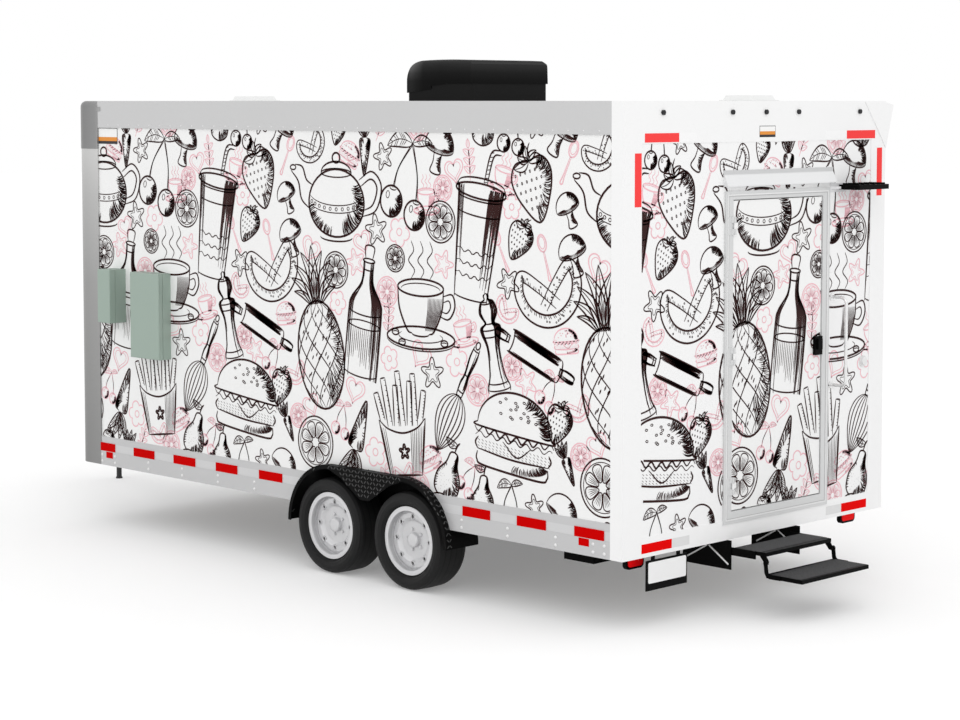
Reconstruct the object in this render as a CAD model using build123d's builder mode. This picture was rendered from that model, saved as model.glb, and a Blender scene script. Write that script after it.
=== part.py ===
from build123d import *
import math
import os

# Food trailer with tandem axles, a rear entry door with folding steps and a serving
# hatch on the right side. Millimetres, +X towards the coupler, +Y left, +Z up.
# The origin is on the ground, below the middle of the overall length and width.

os.makedirs("parts", exist_ok=True)

# ---- driving dimensions ----
body_length = 4468
body_width = 2134
body_height = 2218
ground_clearance = 360
tongue_reach = 1292          # coupler tip ahead of the front wall
step_reach = 468             # lower tread's edge behind the rear wall

wall_thickness = 50
floor_thickness = 25
roof_thickness = 40
roof_fall = 12               # from the flat middle of the roof to its edges
trim_proud = 8               # posts, rails and sills stand this far out of the wall skin
rear_trim_proud = 3
seat_gap = 0.3               # between curved pieces that seat on each other

sill_height = 88
sill_flange_height = 87
sill_flange_set_back = 3
band_height = 162
corner_radius = 80
corner_post_length = 222     # legs of the front corner posts along the side and the front
corner_cap_height = 290
corner_cap_proud = 3
corner_cap_round = 36
corner_cap_tab = 30
rear_post_side = 80
rear_post_face = 131
rear_header_height = 206

rail_height = 100
rail_width = 50
cross_member_height = 75
cross_member_width = 40
cross_member_pitch = 406

wheel_spacing = 622
wheel_middle = 1806          # middle between the axles, ahead of the rear wall
tyre_radius = 262
tyre_width = 210
tyre_stand_out = 31          # tyres beyond the body's side
rim_flange_radius = 183
rim_bead_radius = 165
rim_half_width = 82
rim_sheet = 5
disc_face = 34               # flat of the wheel disc, outside the wheel's middle plane
disc_flat_radius = 98
hand_hole_circle = 125
hand_hole_radius = 10
hub_radius = 75
hub_cap_radius = 39
hub_cap_length = 27
drum_radius = 114
stud_circle = 57
stud_radius = 6
axle_tube = 76
arm_length = 140
spindle_radius = 17
running_gap = 0.1

fender_sheet = 3
fender_half_length = 630
fender_corner_radius = 341
fender_skirt_out = 40        # fender skirts beyond the body's side
fender_depth = 235
fender_drop = 104            # fender's lower ends below the sill
fender_band = 23             # skirt left above the wheel arches

door_width = 738
door_below_roof = 500        # the door's top edge below the roof
door_thickness = 38
door_middle_y = -131         # the door stands off the middle, to the right
door_above_sill = 148
door_gap = 5
door_frame_side = 66
door_frame_top = 43
door_frame_depth = 9
door_frame_lap = 19          # frame's lower edge over the rear sill
hinge_pin_radius = 3
hinge_knuckle_radius = 7
hinge_out = 17               # hinge line behind the outer face of the rear wall
latch_height = 98
latch_width = 63
latch_above_sill = 887
handle_length = 468
handle_above_sill = 716
handle_from_frame = 34
handle_out = 92
handle_radius = 9
drip_cap_above_frame = 24
drip_cap_height = 81
drip_cap_out = 30

window_from_rear = 1500
window_width = 1830
window_height = 900
window_below_roof = 368
hatch_thickness = 34
hatch_gap = 6
strut_radius = 11
rod_radius = 5
strut_foot_drop = 706        # strut's foot below the hatch's hinge line
strut_inboard = 44           # struts inside the wall's inner face
rod_eye_drop = 220           # rod's eye below the hatch's hinge line

marker_below_roof = 56
marker_radius = 12.5
marker_middle_y = -20
marker_spacing = 271         # between the three middle marker lamps
marker_from_side = 262       # outer marker lamps from the body's sides
lamp_below_roof = 432
lamp_height = 34
lamp_width = 276
lamp_from_frame = 57
lamp_out = 148               # lamp's outer edge behind the rear wall
inlet_from_side = 186
inlet_above_sill = 822
inlet_radius = 30
tail_housing_width = 132
tail_housing_height = 70
tail_housing_depth = 24
tail_set_in = 84             # tail lamps ahead of the rear face
tail_from_side = 124
plate_width = 309
plate_height = 150
plate_from_side = 184
plate_drop = 22              # plate's top edge below the sill

awning_front_gap = 468       # case stops this far behind the front wall
awning_depth = 66
awning_drop = 252            # case's lower edge below the roof
awning_top_drop = 6
awning_lip_drop = 20
awning_plate = 4
awning_plate_reach = 191     # end plate's tail over the rear face

cabinet_round = 6
cabinet_groove = 3
power_box_width = 123
power_box_height = 321
power_box_depth = 120
power_box_from_front = 357
power_box_above_sill = 890
gas_box_width = 278
gas_box_height = 507
gas_box_depth = 90
gas_box_from_front = 642
gas_box_above_sill = 700

ac_from_rear = 1793
ac_length = 525
ac_half_width = 306
ac_height = 232
ac_casing = 96
ac_round = 44
vent_half = 112
vent_flange = 4
vent_height = 30
vent_taper = 32              # slope of the lid's sides, in degrees
front_vent_from_front = 418
rear_vent_from_rear = 370
rear_vent_off_middle = 350

step_width = 562             # between the steps' two side plates
step_middle_y = -19
step_tread_height = 20
step_sheet = 3
step_plate = 6
carrier_out = 26             # side plates behind the rear wall
carrier_in = 290
carrier_drop = 149
upper_tread_out = 236
upper_tread_in = 39
upper_tread_drop = 35
lower_tread_in = 245
lower_tread_drop = 140
fold_out = 243               # fold pins behind the rear wall
fold_drop = 85
step_pin_radius = 5
step_arm_width = 22
stabiliser_from_rear = 280
stabiliser_length = 200
stabiliser_height = 64
stabiliser_from_side = 105

# ---- places that follow from them ----
rear_x = step_reach - (step_reach + body_length + tongue_reach) / 2
front_x = rear_x + body_length
tip_x = front_x + tongue_reach
half_width = body_width / 2
skin_y = half_width - trim_proud
inner_y = skin_y - wall_thickness
sill_z = ground_clearance
deck_z = sill_z + rail_height            # top of the chassis, under the floor
floor_z = deck_z + floor_thickness
roof_z = sill_z + body_height
ceiling_z = roof_z - roof_thickness
door_height = body_height - door_above_sill - door_below_roof
band_z = roof_z - band_height
middle_x = rear_x + wheel_middle
rear_skin_x = rear_x + rear_trim_proud
rear_inner_x = rear_skin_x + wall_thickness
rear_post_y = half_width - rear_post_face
tyre_outer_y = half_width + tyre_stand_out
fender_skirt_y = half_width + fender_skirt_out
fender_inner_y = fender_skirt_y - fender_depth
post_y = half_width - corner_post_length     # between the front corner posts
post_x = front_x - corner_post_length
corner_inner = corner_radius - trim_proud - wall_thickness
axle_x = {"front": middle_x + wheel_spacing / 2, "rear": middle_x - wheel_spacing / 2}
sides = {"left": 1, "right": -1}


def block(x, y, z, mode=Mode.ADD):
    """A box between pairs of limits along X, Y and Z, in either order."""
    middle = [(low + high) / 2 for low, high in (x, y, z)]
    size = [abs(high - low) for low, high in (x, y, z)]
    with Locations(tuple(middle)):
        Box(*size, mode=mode)


def rod(start, end, radius, mode=Mode.ADD):
    """A round bar from one point to another."""
    path = Vector(*end) - Vector(*start)
    with BuildSketch(Plane(origin=start, z_dir=path)) as section:
        Circle(radius)
    extrude(section.sketch, amount=path.length, mode=mode)


def save(piece, node):
    """Names a finished piece and writes its STEP file."""
    piece.part.label = node
    export_step(piece.part, f"parts/{node}.step")


# ---- fender outline, which the wall, sill and floor are cut to ----
fender_arc_x = fender_half_length - fender_corner_radius
fender_arc_z = sill_z - 100
fender_top_z = fender_arc_z + fender_corner_radius
fender_low_z = sill_z - fender_drop


def fender_outline(grow=0.0):
    """The wheel box seen from the side, as a sketch on the XZ plane, y = 0."""
    with BuildSketch(Plane.XZ) as outline:
        with BuildLine():
            reach = fender_corner_radius + grow
            low = Line((middle_x - fender_arc_x - reach, fender_low_z - grow),
                       (middle_x - fender_arc_x - reach, fender_arc_z))
            left = CenterArc((middle_x - fender_arc_x, fender_arc_z), reach, 90, 90)
            top = Line((middle_x - fender_arc_x, fender_arc_z + reach),
                       (middle_x + fender_arc_x, fender_arc_z + reach))
            right = CenterArc((middle_x + fender_arc_x, fender_arc_z), reach, 0, 90)
            down = Line((middle_x + fender_arc_x + reach, fender_arc_z),
                        (middle_x + fender_arc_x + reach, fender_low_z - grow))
            Line(down @ 1, low @ 0)
        make_face()
    return outline.sketch


def fender_prism(side, y_near, y_far, grow=0.0, mode=Mode.ADD):
    """The fender outline extruded across the body between two distances from its middle."""
    outline = fender_outline(grow)
    near = outline.moved(Location((0, side * y_near, 0)))
    extrude(near, amount=y_far - y_near, dir=(0, side, 0), mode=mode)


# ================= chassis =================
rail_outer_y = fender_inner_y - 10
frame_x = (rear_x + rear_post_side, front_x)

rail_x = (frame_x[0] + rail_width, frame_x[1] - trim_proud - wall_thickness)
cross_count = int((rail_x[1] - rail_x[0]) // cross_member_pitch)
cross_x = [rail_x[0] + number * cross_member_pitch for number in range(1, cross_count + 1)]
box_gap = fender_half_length + 5

with BuildPart() as main_rails:
    for x in ((frame_x[0], rail_x[0]), (rail_x[1], frame_x[1])):
        block(x, (-post_y, post_y), (sill_z, deck_z))
    for side in sides.values():
        block(rail_x, (side * (rail_outer_y - rail_width), side * rail_outer_y), (sill_z, deck_z))
save(main_rails, "main_rails")

with BuildPart() as cross_members:
    for x in cross_x:
        reach = rail_outer_y - rail_width
        block((x, x + cross_member_width), (-reach, reach), (deck_z - cross_member_height, deck_z))
save(cross_members, "cross_members")

# Side rails under the walls with their outriggers, broken at the wheel boxes.
with BuildPart() as side_rails:
    for side in sides.values():
        for x in ((rail_x[0], middle_x - box_gap), (middle_x + box_gap, post_x)):
            block(x, (side * inner_y, side * skin_y), (sill_z, deck_z))
        for x in cross_x:
            if abs(x + cross_member_width / 2 - middle_x) > box_gap + cross_member_width:
                block((x, x + cross_member_width), (side * rail_outer_y, side * inner_y),
                      (deck_z - cross_member_height, deck_z))
save(side_rails, "side_rails")

# A-frame tongue: two rails that meet at the coupler, with a cross brace.
tongue_half = 520
tongue_tip_half = 46
nose_length = 190
rails_end_x = tip_x - nose_length + 60
rail_cut = 60
brace_from_front = 350
jack_x = tip_x - 227
jack_tube_radius = 22
jack_tube_wall = 4
jack_foot_radius = 23
jack_leg_rise = 220          # inner leg's top above the rails' underside
jack_flange = 12             # flange round the jack tube, on the coupler's plate

with BuildPart() as tongue_frame:
    for side in sides.values():
        with BuildSketch(Plane.XY.offset(sill_z)) as rail:
            with BuildLine():
                Polyline((front_x, side * tongue_half), (rails_end_x, side * tongue_tip_half),
                         (rails_end_x, side * 1), (front_x, side * (tongue_half - rail_cut)), close=True)
            make_face()
        extrude(rail.sketch, amount=rail_height)
    with Locations((jack_x, 0, sill_z + rail_height / 2)):
        Cylinder(jack_tube_radius + 6, rail_height + 2, mode=Mode.SUBTRACT)
    brace_x = front_x + brace_from_front
    taper = (tongue_half - tongue_tip_half) / (rails_end_x - front_x)
    brace_half = tongue_half - taper * brace_from_front - rail_cut / 2
    block((brace_x, brace_x + rail_width), (-brace_half, brace_half), (sill_z + 15, deck_z - 15))
save(tongue_frame, "tongue_frame")

# Coupler: a plate over the rails with the jack's hole, and a nose with the ball socket.
socket_radius = 25.4
socket_depth = 45
nose_height = 62
coupler_plate = 8
with BuildPart() as coupler:
    with BuildSketch(Plane.XY.offset(deck_z)) as plan:
        with BuildLine():
            plate_back = tip_x - 420
            back = Line((plate_back, -125), (plate_back, 125))
            upper = Line(back @ 1, (tip_x - nose_length, 40))
            lower = Line((tip_x - nose_length, -40), back @ 0)
            Line(upper @ 1, lower @ 0)
        make_face()
        with Locations((jack_x, 0)):
            Circle(jack_tube_radius + seat_gap, mode=Mode.SUBTRACT)
    extrude(plan.sketch, amount=coupler_plate)
    with BuildSketch(Plane.XY.offset(deck_z)) as nose_plan:
        with BuildLine():
            back = Line((tip_x - nose_length, -42), (tip_x - nose_length, 42))
            upper = Line(back @ 1, (tip_x - 45, 40))
            nose = ThreePointArc(upper @ 1, (tip_x, 0), (tip_x - 45, -40))
            Line(nose @ 1, back @ 0)
        make_face()
    extrude(nose_plan.sketch, amount=nose_height)
    fillet(coupler.edges().group_by(Axis.Z)[-1], radius=12)
    socket_x = tip_x - 42
    with Locations((socket_x, 0, deck_z + socket_depth / 2)):
        Cylinder(socket_radius, socket_depth, mode=Mode.SUBTRACT)
    block((socket_x - 120, socket_x - 50), (-8, 8), (deck_z + nose_height, deck_z + nose_height + 16))
save(coupler, "coupler")

# Tongue jack: an outer tube through the jack plate, an inner leg with its foot, a crank.
jack_top_z = deck_z + 330
with BuildPart() as jack_tube:
    with Locations((jack_x, 0, (sill_z - 40 + jack_top_z) / 2)):
        Cylinder(jack_tube_radius, jack_top_z - sill_z + 40)
    with Locations((jack_x, 0, jack_top_z + 15)):
        Cylinder(jack_tube_radius + 6, 30)
    with Locations((jack_x, 0, deck_z + coupler_plate + 5)):
        Cylinder(jack_tube_radius + jack_flange, 10)
    with Locations((jack_x, 0, (sill_z - 40 + jack_top_z) / 2 - 20)):
        Cylinder(jack_tube_radius - jack_tube_wall, jack_top_z - sill_z, mode=Mode.SUBTRACT)
    rod((jack_x, jack_tube_radius, jack_top_z + 15), (jack_x, jack_tube_radius + 60, jack_top_z + 15), 8)
    rod((jack_x, jack_tube_radius + 52, jack_top_z + 15), (jack_x - 150, jack_tube_radius + 52, jack_top_z + 15), 6)
    rod((jack_x - 142, jack_tube_radius + 52, jack_top_z + 15),
        (jack_x - 142, jack_tube_radius + 140, jack_top_z + 15), 10)
save(jack_tube, "jack_tube")

with BuildPart() as jack_leg:
    with Locations((jack_x, 0, (sill_z + jack_leg_rise) / 2)):
        Cylinder(jack_tube_radius - jack_tube_wall - seat_gap, sill_z + jack_leg_rise)
    with BuildSketch(Plane.XZ) as foot:
        with BuildLine():
            rim = jack_x + jack_foot_radius
            Polyline((jack_x, 0), (rim, 0), (rim, 5), (rim - 5, 14), (jack_x, 14), close=True)
        make_face()
    revolve(foot.sketch, axis=Axis((jack_x, 0, 0), (0, 0, 1)))
save(jack_leg, "jack_leg")

# Torsion axles: a square tube under the rails, trailing arms and spindles.
arm_width = 18
arm_y = (rail_outer_y + 8, rail_outer_y + 8 + arm_width)
tube_z = sill_z - axle_tube / 2
with BuildPart() as axles:
    for x in axle_x.values():
        tube_x = x + arm_length
        block((tube_x - axle_tube / 2, tube_x + axle_tube / 2), (-arm_y[0], arm_y[0]), (sill_z - axle_tube, sill_z))
        for side in sides.values():
            with BuildSketch(Plane(origin=((x + tube_x) / 2, side * arm_y[0], (tyre_radius + tube_z) / 2),
                                   x_dir=(tube_x - x, 0, tube_z - tyre_radius), z_dir=(0, side, 0))) as arm:
                SlotCenterToCenter(math.hypot(tube_x - x, tube_z - tyre_radius), 64)
            extrude(arm.sketch, amount=arm_width)
            spindle_end = tyre_outer_y - tyre_width / 2 + disc_face
            rod((x, side * arm_y[1], tyre_radius), (x, side * spindle_end, tyre_radius), spindle_radius)
save(axles, "axles")

# ================= floor, walls, roof =================
with BuildPart() as floor:
    block((rear_inner_x, front_x - trim_proud - wall_thickness),
          (-inner_y, inner_y), (deck_z, floor_z))
    for side in sides.values():
        block((rear_inner_x - 1, rear_x + rear_post_side), (side * rear_post_y, side * inner_y),
              (deck_z, floor_z), mode=Mode.SUBTRACT)
    fillet(floor.edges().filter_by(Axis.Z).sort_by(Axis.X)[-2:], radius=corner_inner)
    notch = fender_arc_x + math.sqrt(fender_corner_radius ** 2 - (deck_z - fender_arc_z) ** 2) + 2
    for side in sides.values():
        block((middle_x - notch, middle_x + notch), (side * (fender_inner_y - seat_gap), side * inner_y),
              (deck_z, floor_z), mode=Mode.SUBTRACT)
save(floor, "floor")

wall_x = (rear_x + rear_post_side, post_x)
hatch_top_z = roof_z - window_below_roof
window_x = (rear_x + window_from_rear, rear_x + window_from_rear + window_width)
window_z = (hatch_top_z - window_height, hatch_top_z)
for name, side in sides.items():
    with BuildPart() as wall:
        block(wall_x, (side * inner_y, side * skin_y), (deck_z, ceiling_z))
        fender_prism(side, inner_y - 1, skin_y + 1, grow=seat_gap, mode=Mode.SUBTRACT)
        if name == "right":
            block(window_x, (side * (inner_y - 1), side * (skin_y + 1)), window_z, mode=Mode.SUBTRACT)
    save(wall, f"wall_{name}")

with BuildPart() as wall_front:
    block((front_x - trim_proud - wall_thickness, front_x - trim_proud), (-post_y, post_y), (deck_z, ceiling_z))
save(wall_front, "wall_front")

rear_sill_z = deck_z
header_z = roof_z - rear_header_height
door_y = (door_middle_y - door_width / 2, door_middle_y + door_width / 2)
door_z = (sill_z + door_above_sill, sill_z + door_above_sill + door_height)
opening_y = (door_y[0] - door_gap, door_y[1] + door_gap)
opening_z = (door_z[0] - door_gap, door_z[1] + door_gap)
jamb = 12
jamb_y = (opening_y[0] - jamb, opening_y[1] + jamb)
jamb_z = (opening_z[0] - jamb, opening_z[1] + jamb)
with BuildPart() as wall_rear:
    block((rear_skin_x, rear_inner_x), (-rear_post_y, rear_post_y), (rear_sill_z, header_z))
    block((rear_skin_x - 1, rear_inner_x + 1), jamb_y, jamb_z, mode=Mode.SUBTRACT)
save(wall_rear, "wall_rear")

with BuildPart() as roof:
    with BuildSketch(Plane.YZ.offset(rear_x + rear_post_side)) as section:
        with BuildLine():
            edge = skin_y
            Polyline((-edge, ceiling_z), (edge, ceiling_z), (edge, roof_z - roof_fall), (edge - 60, roof_z - roof_fall),
                     (520, roof_z), (-520, roof_z), (60 - edge, roof_z - roof_fall), (-edge, roof_z - roof_fall),
                     close=True)
        make_face()
    extrude(section.sketch, amount=post_x - rear_x - rear_post_side)
    inner_x = front_x - trim_proud - wall_thickness
    block((post_x, inner_x), (-inner_y, inner_y), (ceiling_z, roof_z - roof_fall))
    corners = roof.edges().filter_by(Axis.Z).filter_by(lambda edge: abs(edge.center().X - inner_x) < 1)
    fillet(corners, radius=corner_inner)
    block((inner_x, front_x - trim_proud), (-post_y, post_y), (ceiling_z, roof_z - roof_fall))
save(roof, "roof")

# ================= trims =================
# Top band: an L rail over the roof's edge along both sides and the front.
flange = 50
with BuildPart() as top_rails:
    for side in sides.values():
        with BuildSketch(Plane.YZ.offset(rear_x + rear_post_side)) as section:
            with BuildLine():
                Polyline((side * skin_y, band_z), (side * half_width, band_z), (side * half_width, roof_z),
                         (side * (skin_y - flange), roof_z), (side * (skin_y - flange), roof_z - roof_fall),
                         (side * skin_y, roof_z - roof_fall), close=True)
            make_face()
        extrude(section.sketch, amount=post_x - rear_x - rear_post_side)
    with BuildSketch(Plane.XZ.offset(post_y)) as section:
        with BuildLine():
            skin_x = front_x - trim_proud
            Polyline((skin_x, band_z), (front_x, band_z), (front_x, roof_z), (skin_x - flange, roof_z),
                     (skin_x - flange, roof_z - roof_fall), (skin_x, roof_z - roof_fall), close=True)
        make_face()
    extrude(section.sketch, amount=2 * post_y, dir=(0, 1, 0))
save(top_rails, "top_rails")

# Side sills: a two-step rail, broken where the wheel boxes come through.
with BuildPart() as side_sills:
    for side in sides.values():
        block(wall_x, (side * skin_y, side * half_width), (sill_z, sill_z + sill_height))
        block(wall_x, (side * skin_y, side * (half_width - sill_flange_set_back)),
              (sill_z + sill_height, sill_z + sill_height + sill_flange_height))
        fender_prism(side, skin_y - 1, half_width + 1, grow=seat_gap, mode=Mode.SUBTRACT)
    block((front_x - trim_proud, front_x), (-post_y, post_y), (deck_z, deck_z + sill_flange_height))
save(side_sills, "side_sills")


def corner_section(side, proud=0.0):
    """A front corner post in plan: two legs joined by a rounded corner, on the side's y."""
    turn = (front_x - corner_radius, side * (half_width - corner_radius))
    quarter = (0, 90) if side > 0 else (0, -90)
    with BuildSketch(Plane.XY) as ring:
        with BuildLine():
            outer = CenterArc(turn, corner_radius + proud, *quarter)
            inner = CenterArc(turn, corner_inner, *quarter)
            Polyline(outer @ 0, (front_x + proud, side * post_y), (front_x - corner_radius + corner_inner, side * post_y),
                     inner @ 0)
            Polyline(outer @ 1, (post_x, side * (half_width + proud)),
                     (post_x, side * (half_width - corner_radius + corner_inner)), inner @ 1)
        make_face()
    return ring.sketch


with BuildPart() as corner_posts:
    for side in sides.values():
        extrude(corner_section(side).moved(Location((0, 0, sill_z))), amount=body_height - corner_cap_height)
save(corner_posts, "corner_posts")

# Cast caps on the posts, rounded over at the top, with a tab over the end of each top rail.
with BuildPart() as corner_caps:
    for side in sides.values():
        extrude(corner_section(side, corner_cap_proud).moved(Location((0, 0, roof_z - corner_cap_height))),
                amount=corner_cap_height)
    outer_top = corner_caps.edges().filter_by(lambda edge: edge.center().Z > roof_z - 1).filter_by(
        lambda edge: abs(edge.center().Y) > half_width or edge.center().X > front_x - corner_radius + corner_inner + 5)
    rounded = [edge for edge in outer_top if abs(abs(edge.center().Y) - post_y) > 1 and abs(edge.center().X - post_x) > 1]
    fillet(rounded, radius=corner_cap_round)
    for side in sides.values():
        block((post_x - corner_cap_tab, post_x + 5), (side * half_width, side * (half_width + corner_cap_proud)),
              (roof_z - 62, roof_z - corner_cap_round))
save(corner_caps, "corner_caps")

with BuildPart() as rear_frame:
    for side in sides.values():
        block((rear_x, rear_x + rear_post_side), (side * rear_post_y, side * half_width), (sill_z, roof_z))
    block((rear_x, rear_x + rear_post_side), (-rear_post_y, rear_post_y), (header_z, roof_z))
    block((rear_x, rear_x + rear_post_side), (-rear_post_y, rear_post_y), (sill_z, rear_sill_z))
save(rear_frame, "rear_frame")

# ================= fenders =================
arch_radius = fender_corner_radius - fender_band
for name, side in sides.items():
    with BuildPart() as fender:
        fender_prism(side, fender_inner_y, fender_skirt_y)
        inner = fender_outline(-fender_sheet).moved(Location((0, side * (fender_inner_y + fender_sheet), 0)))
        extrude(inner, amount=fender_skirt_y - fender_inner_y - 2 * fender_sheet, dir=(0, side, 0), mode=Mode.SUBTRACT)
        reach = fender_half_length + 1
        block((middle_x - reach, middle_x + reach), (side * (fender_inner_y - 1), side * (fender_skirt_y + 1)),
              (fender_low_z - 10, fender_low_z + fender_sheet), mode=Mode.SUBTRACT)
        block((middle_x - fender_half_length + fender_sheet, middle_x + fender_half_length - fender_sheet),
              (side * (fender_inner_y - 1), side * (fender_inner_y + fender_sheet)),
              (fender_low_z - 1, deck_z), mode=Mode.SUBTRACT)
        with BuildSketch(Plane.XZ.offset(-side * (fender_skirt_y - fender_sheet - 1))) as arches:
            for way in (-1, 1):
                with BuildLine():
                    centre_x = middle_x + way * fender_arc_x
                    low_out = (centre_x + way * arch_radius, fender_low_z - 1)
                    side_line = Line(low_out, (centre_x + way * arch_radius, fender_arc_z))
                    arc = CenterArc((centre_x, fender_arc_z), arch_radius, 0 if way > 0 else 180, way * 90)
                    slope = Polyline(arc @ 1, (middle_x + way * 190, fender_arc_z + arch_radius - 36),
                                     (middle_x + way * 35, sill_z + 83), (middle_x + way * 35, sill_z + 40),
                                     (middle_x + way * 35, fender_low_z - 1))
                    Line(slope @ 1, low_out)
                make_face()
            with Locations((middle_x, (fender_low_z + sill_z + 83) / 2 - 1)):
                Rectangle(72, sill_z + 85 - fender_low_z)
        extrude(arches.sketch, amount=fender_sheet + 2, dir=(0, side, 0), mode=Mode.SUBTRACT)
    save(fender, f"fender_{name}")

# ================= wheels =================
def wheel_plane(x, side):
    """Section plane of a wheel: local x outwards along the axle, local y up."""
    return Plane(origin=(x, side * (tyre_outer_y - tyre_width / 2), tyre_radius),
                 x_dir=(0, side, 0), z_dir=(side, 0, 0))


for end, x in axle_x.items():
    for name, side in sides.items():
        plane = wheel_plane(x, side)
        spin = Axis((x, 0, tyre_radius), (0, 1, 0))
        half = tyre_width / 2
        with BuildPart() as tyre:
            with BuildSketch(plane) as section:
                with BuildLine():
                    bead = rim_bead_radius + seat_gap
                    foot = rim_half_width - 7
                    lip = rim_flange_radius + 3
                    outside = [(foot, bead), (foot, lip), (half - 6, lip + 14), (half, lip + 34), (half - 2, tyre_radius - 26),
                               (half - 12, tyre_radius - 9), (half - 30, tyre_radius - 2)]
                    inside = [(foot - 14, bead), (foot - 9, lip + 12), (foot - 26, tyre_radius - 34)]
                    mirrored = [(-across, radius) for across, radius in reversed(outside)]
                    inner_mirrored = [(-across, radius) for across, radius in inside]
                    Polyline(*outside, (0, tyre_radius), *mirrored, *inner_mirrored, *reversed(inside), close=True)
                make_face()
            revolve(section.sketch, axis=spin)
        save(tyre, f"tyre_{end}_{name}")

        with BuildPart() as rim:
            with BuildSketch(plane) as section:
                with BuildLine():
                    w = rim_half_width
                    r0, r1, r2 = rim_flange_radius, rim_bead_radius, rim_bead_radius - 26
                    t = rim_sheet
                    Polyline((-w, r0), (t - w, r0), (t - w, r1), (-30, r1), (-18, r2), (20, r2), (32, r1),
                             (w - t, r1), (w - t, r0), (w, r0), (w, r1 - t), (34, r1 - t), (22, r2 - t),
                             (-20, r2 - t), (-32, r1 - t), (-w, r1 - t), close=True)
                make_face()
                with BuildLine():
                    face, flat, bore = disc_face, disc_flat_radius, hub_cap_radius + seat_gap
                    Polyline((face + 6, r1 - t + 1), (face + 16, r1 - 20), (face + 18, flat + 22), (face + 4, flat + 6),
                             (face, flat), (face, bore), (face - t, bore), (face - t, flat + 2), (face - 1, flat + 8),
                             (face + 13, flat + 23), (face + 11, r1 - 22), (face + 1, r1 - t + 1), close=True)
                make_face()
            revolve(section.sketch, axis=spin)
            disc_y = tyre_outer_y - half + disc_face
            with BuildSketch(Plane(origin=(x, side * disc_y, tyre_radius), x_dir=(1, 0, 0),
                                   z_dir=(0, side, 0))) as hand_holes:
                with PolarLocations(hand_hole_circle, 8):
                    Circle(hand_hole_radius)
            extrude(hand_holes.sketch, amount=30, mode=Mode.SUBTRACT)
            with BuildSketch(Plane(origin=(x, side * (disc_y - 10), tyre_radius), x_dir=(1, 0, 0),
                                   z_dir=(0, side, 0))) as stud_holes:
                with PolarLocations(stud_circle, 5):
                    Circle(stud_radius + seat_gap)
            extrude(stud_holes.sketch, amount=20, mode=Mode.SUBTRACT)
        save(rim, f"rim_{end}_{name}")

        with BuildPart() as hub:
            with BuildSketch(plane) as section:
                with BuildLine():
                    bore = spindle_radius + running_gap
                    back = disc_face - rim_sheet
                    drum = drum_radius
                    Polyline((back, bore), (back, hub_radius), (back - 12, hub_radius), (back - 12, drum),
                             (back - 60, drum), (back - 60, drum - 6), (back - 18, drum - 6), (back - 18, 50),
                             (back - 52, 45), (back - 52, bore), close=True)
                make_face()
                with BuildLine():
                    cap, crown = hub_cap_radius, disc_face + hub_cap_length
                    Polyline((back, bore), (back, cap), (crown - 9, cap), (crown - 4, cap - 3), (crown - 1, cap - 11),
                             (crown, 0), (crown - 5, 0), (crown - 5, bore), close=True)
                make_face()
            revolve(section.sketch, axis=spin)
            stud_plane = Plane(origin=(x, side * (disc_y - 6), tyre_radius), x_dir=(1, 0, 0),
                               z_dir=(0, side, 0))
            with BuildSketch(stud_plane) as studs:
                with PolarLocations(stud_circle, 5):
                    Circle(stud_radius)
            extrude(studs.sketch, amount=15)
            with BuildSketch(stud_plane.offset(6 + seat_gap)) as nuts:
                with PolarLocations(stud_circle, 5):
                    RegularPolygon(10, 6)
            extrude(nuts.sketch, amount=6)
        save(hub, f"hub_{end}_{name}")

# ================= rear door =================
frame_y = (opening_y[0] - door_frame_side + door_gap, opening_y[1] + door_frame_side - door_gap)
frame_z = (rear_sill_z, opening_z[1] + door_frame_top)
face_x = rear_skin_x - door_frame_depth
hinge_x = rear_x - hinge_out
hinge_y = opening_y[1]
hinge_levels = [door_z[0] + door_height * share for share in (0.08, 0.5, 0.92)]
knuckle = 30
with BuildPart() as door_frame:
    block((face_x, rear_skin_x), frame_y, frame_z)
    block((face_x, rear_x), frame_y, (frame_z[0] - door_frame_lap, frame_z[0]))
    block((rear_skin_x, rear_inner_x), jamb_y, jamb_z)
    block((face_x - 1, rear_inner_x + 1), opening_y, opening_z, mode=Mode.SUBTRACT)
    lip = door_gap + 10
    with BuildSketch(Plane.YZ.offset(rear_x + door_thickness + 6)) as stop:
        with Locations((door_middle_y, (opening_z[0] + opening_z[1]) / 2)):
            Rectangle(door_width + 2 * door_gap, door_height + 2 * door_gap)
            Rectangle(door_width + 2 * door_gap - 2 * lip, door_height + 2 * door_gap - 2 * lip, mode=Mode.SUBTRACT)
    extrude(stop.sketch, amount=rear_inner_x - (rear_x + door_thickness + 6))
    for z in hinge_levels:
        block((face_x - 3, face_x), (hinge_y + 2, hinge_y + 42), (z - 1.5 * knuckle, z + 1.5 * knuckle))
        for low in (z - 1.5 * knuckle, z + 0.5 * knuckle + 0.5):
            rod((hinge_x, hinge_y, low), (hinge_x, hinge_y, low + knuckle - 0.5), hinge_knuckle_radius)
            with BuildSketch(Plane.XY.offset(low)) as web:
                with BuildLine():
                    Polyline((hinge_x, hinge_y + 6.5), (face_x - 3, hinge_y + 16), (face_x - 3, hinge_y + 2),
                             (hinge_x + 6, hinge_y), close=True)
                make_face()
            extrude(web.sketch, amount=knuckle - 0.5)
        rod((hinge_x, hinge_y, z - 1.5 * knuckle), (hinge_x, hinge_y, z + 1.5 * knuckle), hinge_pin_radius)
save(door_frame, "door_frame")

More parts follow.
